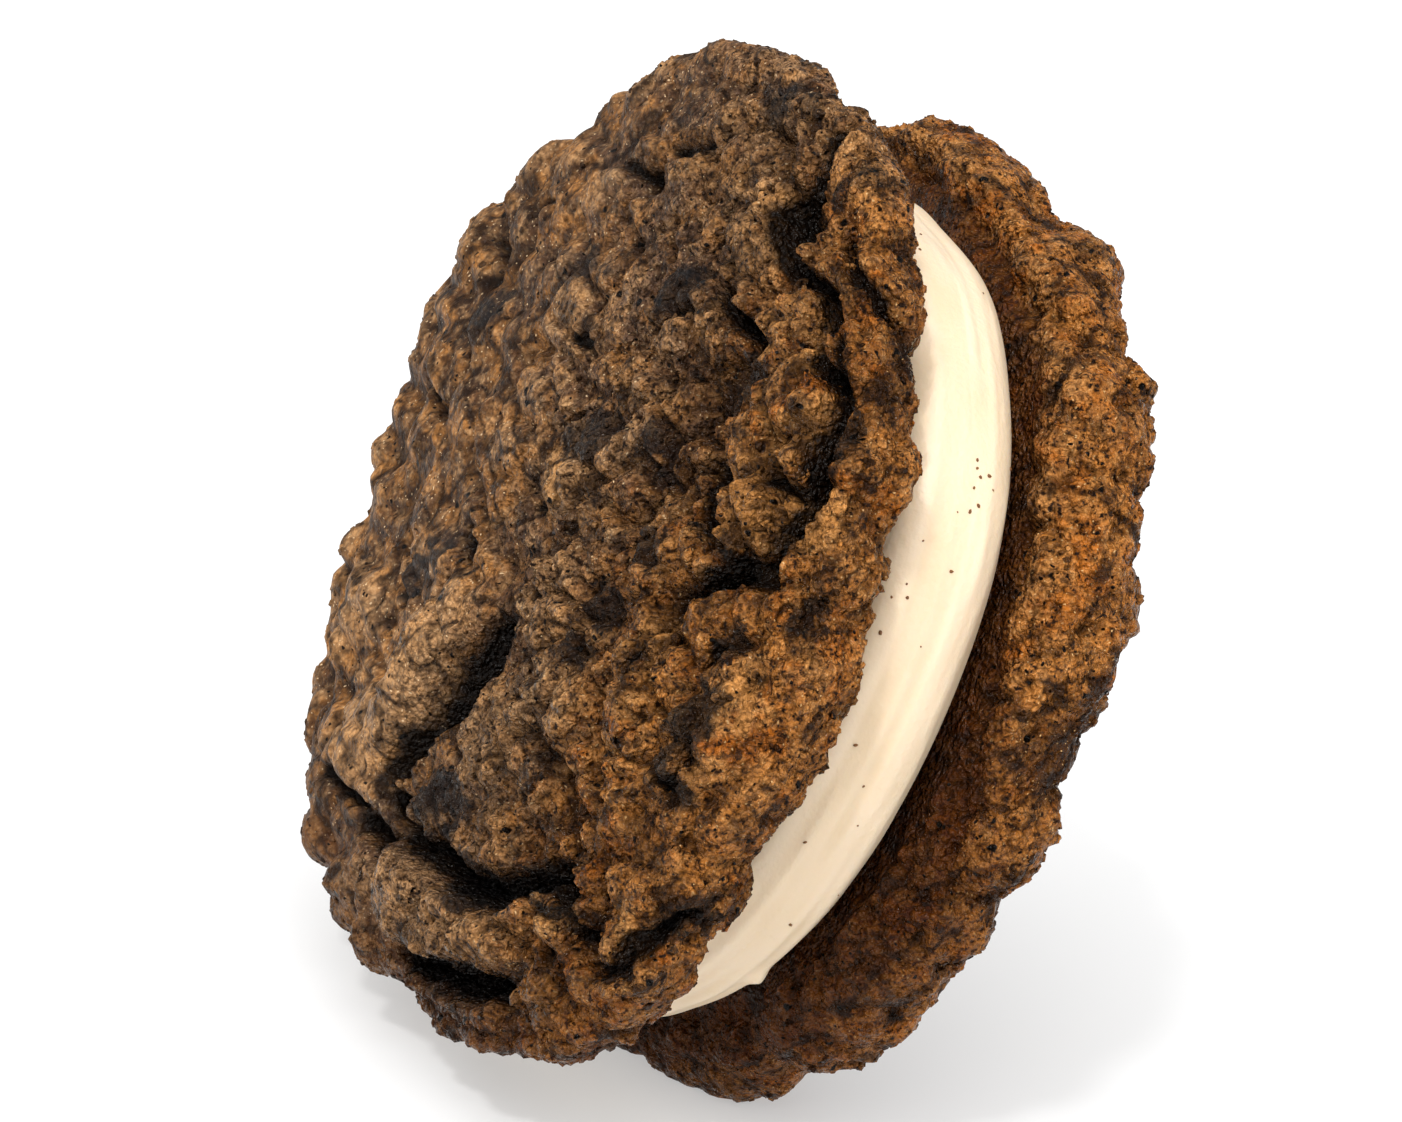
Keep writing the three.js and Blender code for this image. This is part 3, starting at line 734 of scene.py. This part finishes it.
def icosahedron():
    """Corners and faces of a twenty-faced ball: three golden rectangles at right angles, and every
    three corners that are one edge apart, turned to face outward."""
    golden = (1 + 5**0.5) / 2
    corners = np.array(
        [np.roll((0.0, a, b * golden), turn) for turn in range(3) for a in (-1, 1) for b in (-1, 1)]
    )
    apart = np.linalg.norm(corners[:, None] - corners[None], axis=-1)
    every = [(i, j, k) for i in range(BALL_CORNERS) for j in range(i) for k in range(j)]
    trios = [(i, j, k) for i, j, k in every if max(apart[i, j], apart[j, k], apart[i, k]) < BALL_EDGE]
    faces = []
    for i, j, k in trios:
        turn = np.dot(np.cross(corners[j] - corners[i], corners[k] - corners[i]), corners[i])
        faces.append((i, j, k) if turn > 0 else (i, k, j))
    return corners / np.linalg.norm(corners[0]), np.array(faces)


def bead_mesh(name, centres, normals, radii, rng, attributes=()):
    """One mesh of dented balls: each is turned by a random spin about its normal, squashed along it,
    and carries one value of each attribute."""
    corners, faces = icosahedron()
    count = len(radii)
    side = np.cross(normals, rng.normal(size=normals.shape))
    side /= np.linalg.norm(side, axis=1, keepdims=True)
    basis = np.stack([side, np.cross(normals, side), normals], axis=1)
    stretch = radii[:, None] * np.stack([rng.uniform(*span, count) for span in BEAD_STRETCH], 1)
    dented = corners * rng.uniform(*BEAD_DENT, (count, BALL_CORNERS, 1)) * stretch[:, None]
    points = (centres[:, None] + dented @ basis).reshape(-1, 3)
    every = (faces + BALL_CORNERS * np.arange(count)[:, None, None]).reshape(-1, 3)
    spread = {key: np.repeat(values, BALL_CORNERS) for key, values in dict(attributes).items()}
    return new_piece(name, points, every.tolist(), spread)


# %% Where the beads lie


def scatter(points, facts, hidden, count, rng):
    """Places on a grid of points, by chance in proportion to area times a weight for how crisp, how far
    out and how little sunk the crust is: each place's centre, its outward normal, which is the cross
    product of the grid's two steps, and the values that the crust has there."""
    corner = points[1:-2]
    along, down = np.roll(points, -1, axis=1)[1:-2] - corner, points[2:-1] - corner
    face = np.cross(down, along)
    area = np.linalg.norm(face, axis=-1)
    weight = area * (1 - facts["sunk"][1:-2]) ** 2 * facts["crisp"][1:-2] * ~hidden[1:-2]
    weight = weight * (0.5 + facts["outermost"][1:-2])
    chosen = rng.choice(weight.size, count, p=(weight / weight.sum()).ravel())
    u, v = rng.random((2, count, 1))
    corner, along, down = (step.reshape(-1, 3)[chosen] for step in (corner, along, down))
    centres = corner + u * along + v * down
    normals = (face / area[..., None]).reshape(-1, 3)[chosen]
    return centres, normals, {key: value[1:-2].ravel()[chosen] for key, value in facts.items()}


# %% [markdown]
# ## Chocolate and toast
# The dough holds melted chocolate that shows as blue-black smears, some lobes are paler where the crust
# is dry, and the right rim is toasted to orange-brown. These could be painted on the mesh by hand. Here
# each smear and pale lobe is one more oval on the peeled-flat face, so that it can be moved by changing
# a number, and the mesh carries how strong it is at each point for the material to read.

# %% Smears and pale lobes: x, y, direction, half length, half width, strength
FRONT["smears"] = [
    (8, 38, 0, 5, 2.5, 0.5), (23, 34, 60, 4, 1.5, 0.6), (7, 21, 30, 4, 2.5, 0.8), (21, 17.5, 10, 3, 2, 0.9),
    (3.5, 8, 20, 4.5, 2.5, 1), (13.5, 9.5, -30, 3, 2, 0.7), (20, 3, 20, 3.5, 2, 0.9),
    (16, -2.5, -20, 3, 2, 1), (15, -7, 0, 2.5, 2, 0.7), (14.5, -16, 60, 3, 2, 0.7),
    (12, -26, 10, 5.5, 2.5, 0.8), (-16, -8, 40, 5, 2.5, 1), (36, -6, 80, 4, 2.5, 1),
    (34, -11, 0, 4, 2, 0.9), (38, -19.5, 30, 4, 2, 0.9), (35, -1, 60, 3, 1.5, 0.7),
    (37, 17, 90, 3, 1.5, 0.7), (41, 5, 90, 4, 1.5, 0.6), (2, -24, 20, 6, 3, 0.9), (-24, 12, 30, 6, 3, 0.5),
    (-8, 20, 10, 7, 2.5, 0.4), (20, 40, 0, 4, 2, 0.3),
]
REAR["smears"] = [
    (-12, 12, 20, 6, 3, 0.8), (12, -6, 60, 5, 3, 0.8), (-24, -10, 90, 6, 2.5, 0.7), (6, 28, 0, 7, 3, 0.7),
    (24, 12, 40, 5, 3, 0.8), (-4, -24, 0, 7, 3, 0.7), (26, -22, 120, 5, 2.5, 0.7),
]
FRONT["pale"] = [
    (37.5, 11, 0, 4, 3, 1), (31, 9.5, 0, 7, 4, 1.3), (32, 15, 60, 5, 3, 1), (18, 5, 20, 5, 3, 0.5),
    (22, 10, 0, 4, 3, 0.7), (1, 4, 0, 5, 4, 0.6),
    (24.5, 22.5, -20, 6, 4, 0.7), (38, -3, 80, 4, 3, 0.8), (27, -2, 0, 4, 3, 0.6), (14, 29, -15, 9, 5, 0.6),
    (29, 16, -10, 6, 4, 0.4), (-10, -18, 65, 12, 6, 0.4), (26, -8, 80, 6, 4, 0.4), (12, 36, 0, 8, 5, 0.6),
]
REAR["pale"] = [(-6, 14, 30, 8, 5, 0.6), (16, 4, 70, 8, 5, 0.5), (-20, -16, 120, 8, 5, 0.5)]

# %% From rows to strength


def tints(body, points, x, y):
    """Strength of smears, pale crust and toasting at peeled-flat places, each in 0..1. An oval's dome is
    flattened by a power of 0.4, and noise of one and three millimetres tears its edge."""
    torn = 0.35 * noise(points, 1.0, body["seed"] + 40) + 0.35 * noise(points, 3.0, body["seed"] + 41)
    made = {}
    for key in ("smears", "pale"):
        total = np.zeros_like(x)
        for *place, strength in body[key]:
            total = np.maximum(total, strength * oval(x, y, *place) ** 0.4)
        made[key] = np.clip(total * (1 + 2.5 * torn), 0, 1)
    made["toast"] = np.clip(smoothstep(x, *body["toasted"]) + 0.4 * torn, 0, 1)
    return made


# %% [markdown]
# ## The cream
# Whipped filling, pressed flat between the cookies, so its faces are flat and its side is full and
# round. A knife was drawn round it, which leaves faint lines along the rim. It could be a bevelled
# cylinder, but a polar grid gives the lines and a soft swell for nothing more than a few noises.

# %% Relief of the cream: size and height in mm
CREAM_COLUMNS, CREAM_ROWS = 720, 120
CREAM_SWELL, CREAM_LINES, CREAM_DABS = (13, 0.6), (0.8, 0.12), (0.9, 0.14)
LINE_STRETCH, DAB_STRETCH = 40, 6

# %% Marks on the cream's side: direction, height, half length, half height, push
CREAM_MARKS = [
    (46, 3.5, 2.2, 1.4, -0.5), (-15, 3.3, 16, 0.9, -0.4), (-15, 4.8, 18, 0.8, 0.2),
    (-45, -3.2, 0.9, 0.7, 0.55), (20, -1, 12, 2.0, 0.3), (75, 0, 8, 2, -0.3), (8, 2.2, 12, 0.7, -0.2),
]

# %% Surface of the cream


def cream_surface(body):
    """Points of the filling and how streaked it is: the plain section plus a slow swell on its round
    side, fine lines and dabs that are noise stretched along the rim, and the marks, each a Gaussian
    along and across the rim. Rows crowd towards the side, by a power of 2.2 from the middle row."""
    side = np.linspace(0, 1, CREAM_ROWS)
    crowded = 0.5 + 0.5 * np.sign(side - 0.5) * np.abs(2 * side - 1) ** 2.2
    angle = np.arange(CREAM_COLUMNS) * (2 * np.pi / CREAM_COLUMNS)
    at, base, normal = plain_skin(body, body["section"]["along"][-1] * crowded, angle)
    round_side = smoothstep(at["r"], 31, 35)
    height = CREAM_SWELL[1] * noise(base, CREAM_SWELL[0], body["seed"])
    lines = noise(base * (1 / LINE_STRETCH, 1 / LINE_STRETCH, 1), CREAM_LINES[0], body["seed"] + 1)
    dabs = noise(base * (1 / DAB_STRETCH, 1 / DAB_STRETCH, 1), CREAM_DABS[0], body["seed"] + 2)
    height = height + CREAM_LINES[1] * lines + CREAM_DABS[1] * np.maximum(dabs, 0)
    for direction, level, half_length, half_height, push in CREAM_MARKS:
        turn = angle - np.radians(direction)
        along_rim = np.arctan2(np.sin(turn), np.cos(turn)) * body["rim"] / half_length
        height = height + push * np.exp(-(along_rim**2) - ((at["z"] - level) / half_height) ** 2)
    streak = np.clip(0.5 - 0.4 * lines - 0.3 * dabs, 0, 1) * round_side
    return base + (height * round_side)[..., None] * normal, streak


# %% [markdown]
# ## Materials
# ** Crust**: baked cocoa dough, a rough organic surface. Its colour could come from one noise and a
# ramp, but baking leaves many things at once: toast, dry pale lobes, dark gaps, smears. So it is built
# up in layers, each laid over the last through a mask. Some layers paint light and shade into the colour:
# shade in cracks, hollows, valleys, beside the cream and towards the bottom, highlight on crests and
# ridges, and glints on specks of sugar. Roughness is about 0.5, and lower on specks of melted sugar,
# which catch small glints. The index of refraction is that of a sugary solid, and its highlight is
# weak, because the real surface is porous.

# %% Crust colours: dough from dusty to tan, then its darks and painted shade, then its lights and painted highlight
# The pale and tan colours also paint highlight on ridges and crests.
DUSTY, WARM, PALE_AND_HIGHLIGHT, EMBER, TAN_AND_HIGHLIGHT = "#785943", "#bf8142", "#cd9c6a", "#b86f2a", "#e2ba8a"
# The gap colour also paints shade in hollows and valleys, the deep one paints shade in cracks and holes, and
# the seam one paints shade beside the cream.
GAP_AND_SHADE, COCOA, SEAM_SHADE, SMEAR, DEEP_SHADE = "#1c0f07", "#3f2614", "#3a1802", "#0e161b", "#090503"
# The sugar colour paints glints as well as sugar.
HONEY, SUGAR_GLINT, AMBER = "#dfa262", "#e0c096", "#ffeece"

# %% Crust patterns: cloudy ones with size in mm and detail, cells with size in mm
CLOUDS = {
    "cloud": (11, 2.0), "mottle": (3.4, 3.0), "patch": (1.4, 2.0), "speckle": (0.55, 2.0), "dust": (0.22, 1.0),
}
CELLS = {"grain": 0.48, "lump": 1.3, "pinholes": 0.9, "bubbles": 2.2, "sugar_glint": 0.38}
WARP_SIZE, WARP_PUSH = 0.6, 0.5  # in mm, and cells are pushed by up to this so that they aren't round

# Only some cells hold a pinhole, a burst bubble or a sugar crystal with a painted glint, by the cell's random
# colour.
HOLDERS = {"pinholes": (0.46, 0.6), "bubbles": (0.5, 0.6), "sugar_glint": (0.52, 0.72)}

# %% What the mesh says of the crust
FACTS = ("sunk", "valley", "crest", "hollow", "ridge", "seam_and_low_shade", "edge", "crisp", "smears", "pale", "toast")

# %% Crust layers: source, where it starts and is full, strength, colour
LAYERS = [
    ("crisp", 1.0, 0.3, 0.62, GAP_AND_SHADE),
    ("cloud", 0.58, 0.40, 0.3, GAP_AND_SHADE),
    ("toast", 0.0, 1.0, 0.7, WARM),
    ("mottle", 0.46, 0.62, 0.7, WARM),
    ("pale", 0.0, 1.0, 0.7, PALE_AND_HIGHLIGHT),
    # Painted highlight on the ridges of the broad relief.
    ("ridge", 0.0, 1.0, 0.5, PALE_AND_HIGHLIGHT),
    ("patch", 0.50, 0.66, 0.5, PALE_AND_HIGHLIGHT),
    ("mottle", 0.50, 0.36, "toast", EMBER),
    ("edge", 0.0, 1.0, 0.6, WARM),
    # Painted highlight on the crests of the finer relief.
    ("crest", 0.0, 1.0, 0.4, TAN_AND_HIGHLIGHT),
    ("speckle", 0.52, 0.72, 0.25, TAN_AND_HIGHLIGHT),
    # Painted shade in the hollows of the broad relief.
    ("hollow", 0.0, 1.0, 0.8, GAP_AND_SHADE),
    ("pale", 0.4, 0.9, 0.75, PALE_AND_HIGHLIGHT),
    ("speckle", 0.48, 0.33, "crisp", GAP_AND_SHADE),
    ("grain", 0.45, 0.75, 0.5, COCOA),
    ("lump", 0.50, 0.80, 0.4, GAP_AND_SHADE),
    ("patch", 0.42, 0.30, 0.5, GAP_AND_SHADE),
    ("pale", 0.75, 1.0, 0.45, HONEY),
    # Light specks, partly sugar and partly painted glints.
    ("sugar_glint", 0.26, 0.10, "some sugar_glint", SUGAR_GLINT),
    # Painted shade beside the cream and towards the bottom.
    ("seam_and_low_shade", 0.0, 1.0, 0.85, SEAM_SHADE),
    ("smears", 0.1, 0.55, 0.85, SMEAR),
    # Painted shade in crevices and at the foot of knobs.
    ("valley", 0.1, 0.6, 0.9, GAP_AND_SHADE),
    # Painted shade in pinholes and burst bubbles too small for the mesh.
    ("pinholes", 0.20, 0.14, "some pinholes", DEEP_SHADE),
    ("bubbles", 0.17, 0.12, "some bubbles", DEEP_SHADE),
    # Painted shade in the cracks.
    ("sunk", 0.14, 0.75, 0.93, DEEP_SHADE),
]

# %% Crust bump: source, and the height in mm of its full swing
BUMP_HEIGHTS = {"patch": 0.6, "speckle": 0.6, "dust": 0.14, "grain": -0.5, "lump": -0.6}

# %% Crust gloss: roughness between specks and on them, and how crisp the smoothest crust still is
DULL, SHINY, SMOOTH_CRUST = 0.5, 0.14, 0.3

# %% The sources by name


def crust_sources(tree):
    """Every source and mask by its name: the facts and tints on the mesh, cloudy noises, and the
    distance to each cell's centre, where a push of half a millimetre by a finer noise bends the cells."""
    found = {key: add(tree, "ShaderNodeAttribute", attribute_name=key).outputs["Fac"] for key in FACTS}
    place = add(tree, "ShaderNodeTexCoord").outputs["Object"]
    for key, (size, detail) in CLOUDS.items():
        look = {"Vector": place, "Scale": per_mm(size), "Detail": detail, "Roughness": 0.65}
        found[key] = add(tree, "ShaderNodeTexNoise", look).outputs["Fac"]
    look = {"Vector": place, "Scale": per_mm(WARP_SIZE), "Detail": 0.0}
    push = {0: add(tree, "ShaderNodeTexNoise", look).outputs["Color"], 1: (WARP_PUSH * MM,) * 3, 2: place}
    bent = add(tree, "ShaderNodeVectorMath", push, operation="MULTIPLY_ADD").outputs[0]
    for key, size in CELLS.items():
        cell = add(tree, "ShaderNodeTexVoronoi", {"Vector": bent, "Scale": per_mm(size)})
        found[key] = cell.outputs["Distance"]
        if key in HOLDERS:
            low, high = HOLDERS[key]
            span = {"Value": cell.outputs["Color"], "From Min": low, "From Max": high}
            found["some " + key] = add(tree, "ShaderNodeMapRange", span).outputs["Result"]
    return found


# %% The crust material


def crust_material(name):
    """Baked crust. Each layer's mask rises over its span of the source, up to a strength that is a
    number or a source itself. The toasted side is tinted amber. The bump is the sum of each source
    times its height, weaker where the crust is smooth. Roughness is dull, and falls on specks."""
    material, tree, shader = new_material(name)
    found = crust_sources(tree)
    colour = linear(DUSTY)
    for source, low, high, strength, over in LAYERS:
        span = {"Value": found[source], "From Min": low, "From Max": high}
        span["To Max"] = found.get(strength, strength)
        laid = {0: add(tree, "ShaderNodeMapRange", span).outputs["Result"], 6: colour, 7: linear(over)}
        colour = add(tree, "ShaderNodeMix", laid, data_type="RGBA").outputs[2]
    tint = {0: found["toast"], 6: colour, 7: linear(AMBER)}
    colour = add(tree, "ShaderNodeMix", tint, data_type="RGBA", blend_type="MULTIPLY").outputs[2]
    tree.links.new(colour, shader.inputs["Base Color"])

    relief = 0.0
    for source, height in BUMP_HEIGHTS.items():
        total = {0: found[source], 1: height, 2: relief}
        relief = add(tree, "ShaderNodeMath", total, operation="MULTIPLY_ADD").outputs[0]
    relief = add(tree, "ShaderNodeMath", {0: relief, 1: found["crisp"]}, operation="MULTIPLY").outputs[0]
    bump = add(tree, "ShaderNodeBump", {"Strength": 1.0, "Distance": MM, "Height": relief})
    tree.links.new(bump.outputs["Normal"], shader.inputs["Normal"])

    specks = {"Value": found["crisp"], "From Min": SMOOTH_CRUST, "To Min": DULL, "To Max": SHINY}
    shine = add(tree, "ShaderNodeMapRange", specks).outputs["Result"]
    gloss = {"Value": found["speckle"], "From Min": 0.38, "From Max": 0.52, "To Min": DULL, "To Max": shine}
    tree.links.new(add(tree, "ShaderNodeMapRange", gloss).outputs["Result"], shader.inputs["Roughness"])
    settle(shader, IOR=1.45, Specular_IOR_Level=0.14)
    return material


# %% [markdown]
# **Cream**: fat and sugar whipped together. It scatters light a millimetre or two inside, so a
# subsurface share keeps its shaded side bright, and its fat gives a satin shine.

# %% Cream material
CREAM_COLOUR, CREAM_SHADE = "#efd9bc", "#e0c69e"


def cream_material(name):
    """Whipped filling: ivory with a faint warmer mottle in its streaks, light scattered inside, satin
    shine and a very fine bump."""
    material, tree, shader = new_material(name)
    place = add(tree, "ShaderNodeTexCoord").outputs["Object"]
    mottle, fine = (
        add(tree, "ShaderNodeTexNoise", {"Vector": place, "Scale": per_mm(size), "Detail": 3.0}).outputs["Fac"]
        for size in (6, 0.5)
    )
    streak = add(tree, "ShaderNodeAttribute", attribute_name="streak").outputs["Fac"]
    shade = add(tree, "ShaderNodeMath", {0: mottle, 1: streak}, operation="MULTIPLY").outputs[0]
    mix = {0: shade, 6: linear(CREAM_COLOUR), 7: linear(CREAM_SHADE)}
    tree.links.new(add(tree, "ShaderNodeMix", mix, data_type="RGBA").outputs[2], shader.inputs["Base Color"])
    bump = add(tree, "ShaderNodeBump", {"Strength": 0.7, "Distance": 0.1 * MM, "Height": fine})
    tree.links.new(bump.outputs["Normal"], shader.inputs["Normal"])
    settle(shader, Roughness=0.42, IOR=1.46)
    settle(shader, Subsurface_Weight=0.35, Subsurface_Radius=(1.0, 0.75, 0.45), Subsurface_Scale=1.5 * MM)
    return material


# %% [markdown]
# ## Putting the sandwich together
# Each cookie is worked out lying flat, carried to its place, and its lowest points are pressed flat on
# the table where it stands. Each new body replaces its plain solid, and its beads ride with it, held
# above the table and clear of the cream.

# %% Two cookies
CREAM_MARGIN = 0.5  # on an inner face, beads start this far outside the rim of the cream, in mm

for side, body, turned in (("front", FRONT, False), ("rear", REAR, True)):
    own, facts, flat = crust(body)
    world = to_world(own, SEAT, turned)
    world[..., 2] = np.maximum(world[..., 2], 0)
    facts.update(tints(body, own, *flat))
    piece = closed_mesh(side + "_cookie_crust", world, facts)
    baked = crust_material("baked_" + side + "_crust")
    piece.data.materials.append(baked)
    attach(piece, "root")
    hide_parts(side + "_cookie")

    rng = np.random.default_rng(body["seed"])
    under = np.linalg.norm(own[..., :2], axis=-1) < CREAM["rim"] + CREAM_MARGIN
    centres, normals, values = scatter(world, facts, under & (own[..., 2] < 0), BEAD_COUNT, rng)
    radii = BEAD_RADIUS[0] * (BEAD_RADIUS[1] / BEAD_RADIUS[0]) ** (rng.random(BEAD_COUNT) ** BEAD_SKEW)
    centres = centres - BEAD_SINK * radii[:, None] * normals
    centres[:, 2] = np.maximum(centres[:, 2], BEAD_REACH * radii)
    crumb = bead_mesh(side + "_crumb", centres, normals, radii, rng, values)
    crumb.data.materials.append(baked)
    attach(crumb, "root")

# %% The filling
own, streak = cream_surface(CREAM)
cream_points = to_world(own, 0.0, False)
filling = closed_mesh("cream_round", cream_points, dict(streak=streak))
filling.data.materials.append(cream_material("whipped_cream"))
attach(filling, "root")
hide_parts("cream_filling")

# %% [markdown]
# Dark crumbs the size of a grain of sand have fallen on the cream, most of them in one row across it.
# Each is a ball like the beads of the crust, pressed a little into the nearest point of the cream.
# They are baked dough too, but too small for its layers, so two browns and one noise are enough.

# %% Stray crumbs: direction, height, spread along, spread across, count
STRAY = [
    (28, 0.4, 1.6, 3.0, 11), (13, 1.5, 4, 2.6, 7), (-7, 2.5, 6, 2.2, 6), (60, 0, 8, 2.5, 3), (-30, 1, 8, 3, 3),
]
STRAY_SEED, STRAY_CLIP, STRAY_LEVELS, STRAY_RADIUS = 3, 1.6, (-5, 5), (0.08, 0.17)

rng = np.random.default_rng(STRAY_SEED)
spots = []
for direction, level, along_spread, across_spread, count in STRAY:
    for _ in range(count):
        away, high = np.clip(rng.normal(size=2), -STRAY_CLIP, STRAY_CLIP) * (along_spread, across_spread)
        turn = np.radians(direction) + away / CREAM["rim"]
        around = CREAM["rim"] * np.cos(turn), CREAM["rim"] * np.sin(turn)
        spots.append((*around, np.clip(level + high, *STRAY_LEVELS)))
spots = np.array(spots)

# %% Crumbs on the cream
flat_own = own[1:-1].reshape(-1, 3)
nearest = np.array([np.argmin(((flat_own - spot) ** 2).sum(axis=1)) for spot in spots])
centres = cream_points[1:-1].reshape(-1, 3)[nearest]
normals = spots * (1, 1, 0) @ np.stack([ACROSS, UP_FACE, OUTWARD]) / CREAM["rim"]
strays = bead_mesh("stray_crumbs", centres, normals, rng.uniform(*STRAY_RADIUS, len(spots)), rng)
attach(strays, "root")

# %% Crumb material
CRUMB_DARK, CRUMB_LIGHT = "#4e2a0e", "#8a5a26"

material, tree, shader = new_material("dark_crumb")
place = add(tree, "ShaderNodeTexCoord").outputs["Object"]
mottle = add(tree, "ShaderNodeTexNoise", {"Vector": place, "Scale": per_mm(0.3)}).outputs["Fac"]
mix = {0: mottle, 6: linear(CRUMB_DARK), 7: linear(CRUMB_LIGHT)}
tree.links.new(add(tree, "ShaderNodeMix", mix, data_type="RGBA").outputs[2], shader.inputs["Base Color"])
settle(shader, Roughness=0.6)
strays.data.materials.append(material)

# %% [markdown]
# ## Table and light
# A white table that runs past the view and glows a little, so that it stays white up to the soft shadow
# under the cookie, and a bright soft sky. Two suns stand high on the right: a wide one gives the form,
# and a narrow, weaker one gives the glints and the small crisp shadows. Area lamps would do as well, but
# a sun lights the whole table evenly.

# %% Table
WHITE = (1.0, 1.0, 1.0, 1.0)

bpy.ops.mesh.primitive_plane_add(size=6)
table = bpy.context.object
table.name = "table"
material, tree, shader = new_material("white_table")
settle(shader, Base_Color=linear("#c4c4c4"), Roughness=0.9, Specular_IOR_Level=0.0)
settle(shader, Emission_Color=WHITE, Emission_Strength=0.42)
table.data.materials.append(material)

# %% Sky
world = bpy.data.worlds.new("soft_sky")
world.use_nodes = True
settle(world.node_tree.nodes["Background"], Color=WHITE, Strength=0.38)
bpy.context.scene.world = world

# %% Lamps: name, strength, spread in degrees, direction it comes from
LAMPS = (("soft_lamp", 3.1, 65, (0.5, -0.22, 0.84)), ("glint_lamp", 1.0, 6, (0.5, -0.45, 0.75)))

for name, energy, spread, came_from in LAMPS:
    lamp_data = bpy.data.lights.new(name, "SUN")
    lamp_data.energy = energy
    lamp_data.angle = np.radians(spread)
    lamp = bpy.data.objects.new(name, lamp_data)
    bpy.context.scene.collection.objects.link(lamp)
    lamp.rotation_mode = "QUATERNION"
    lamp.rotation_quaternion = Vector(came_from).to_track_quat("Z", "Y")
bpy.context.scene.view_settings.view_transform = "Standard"
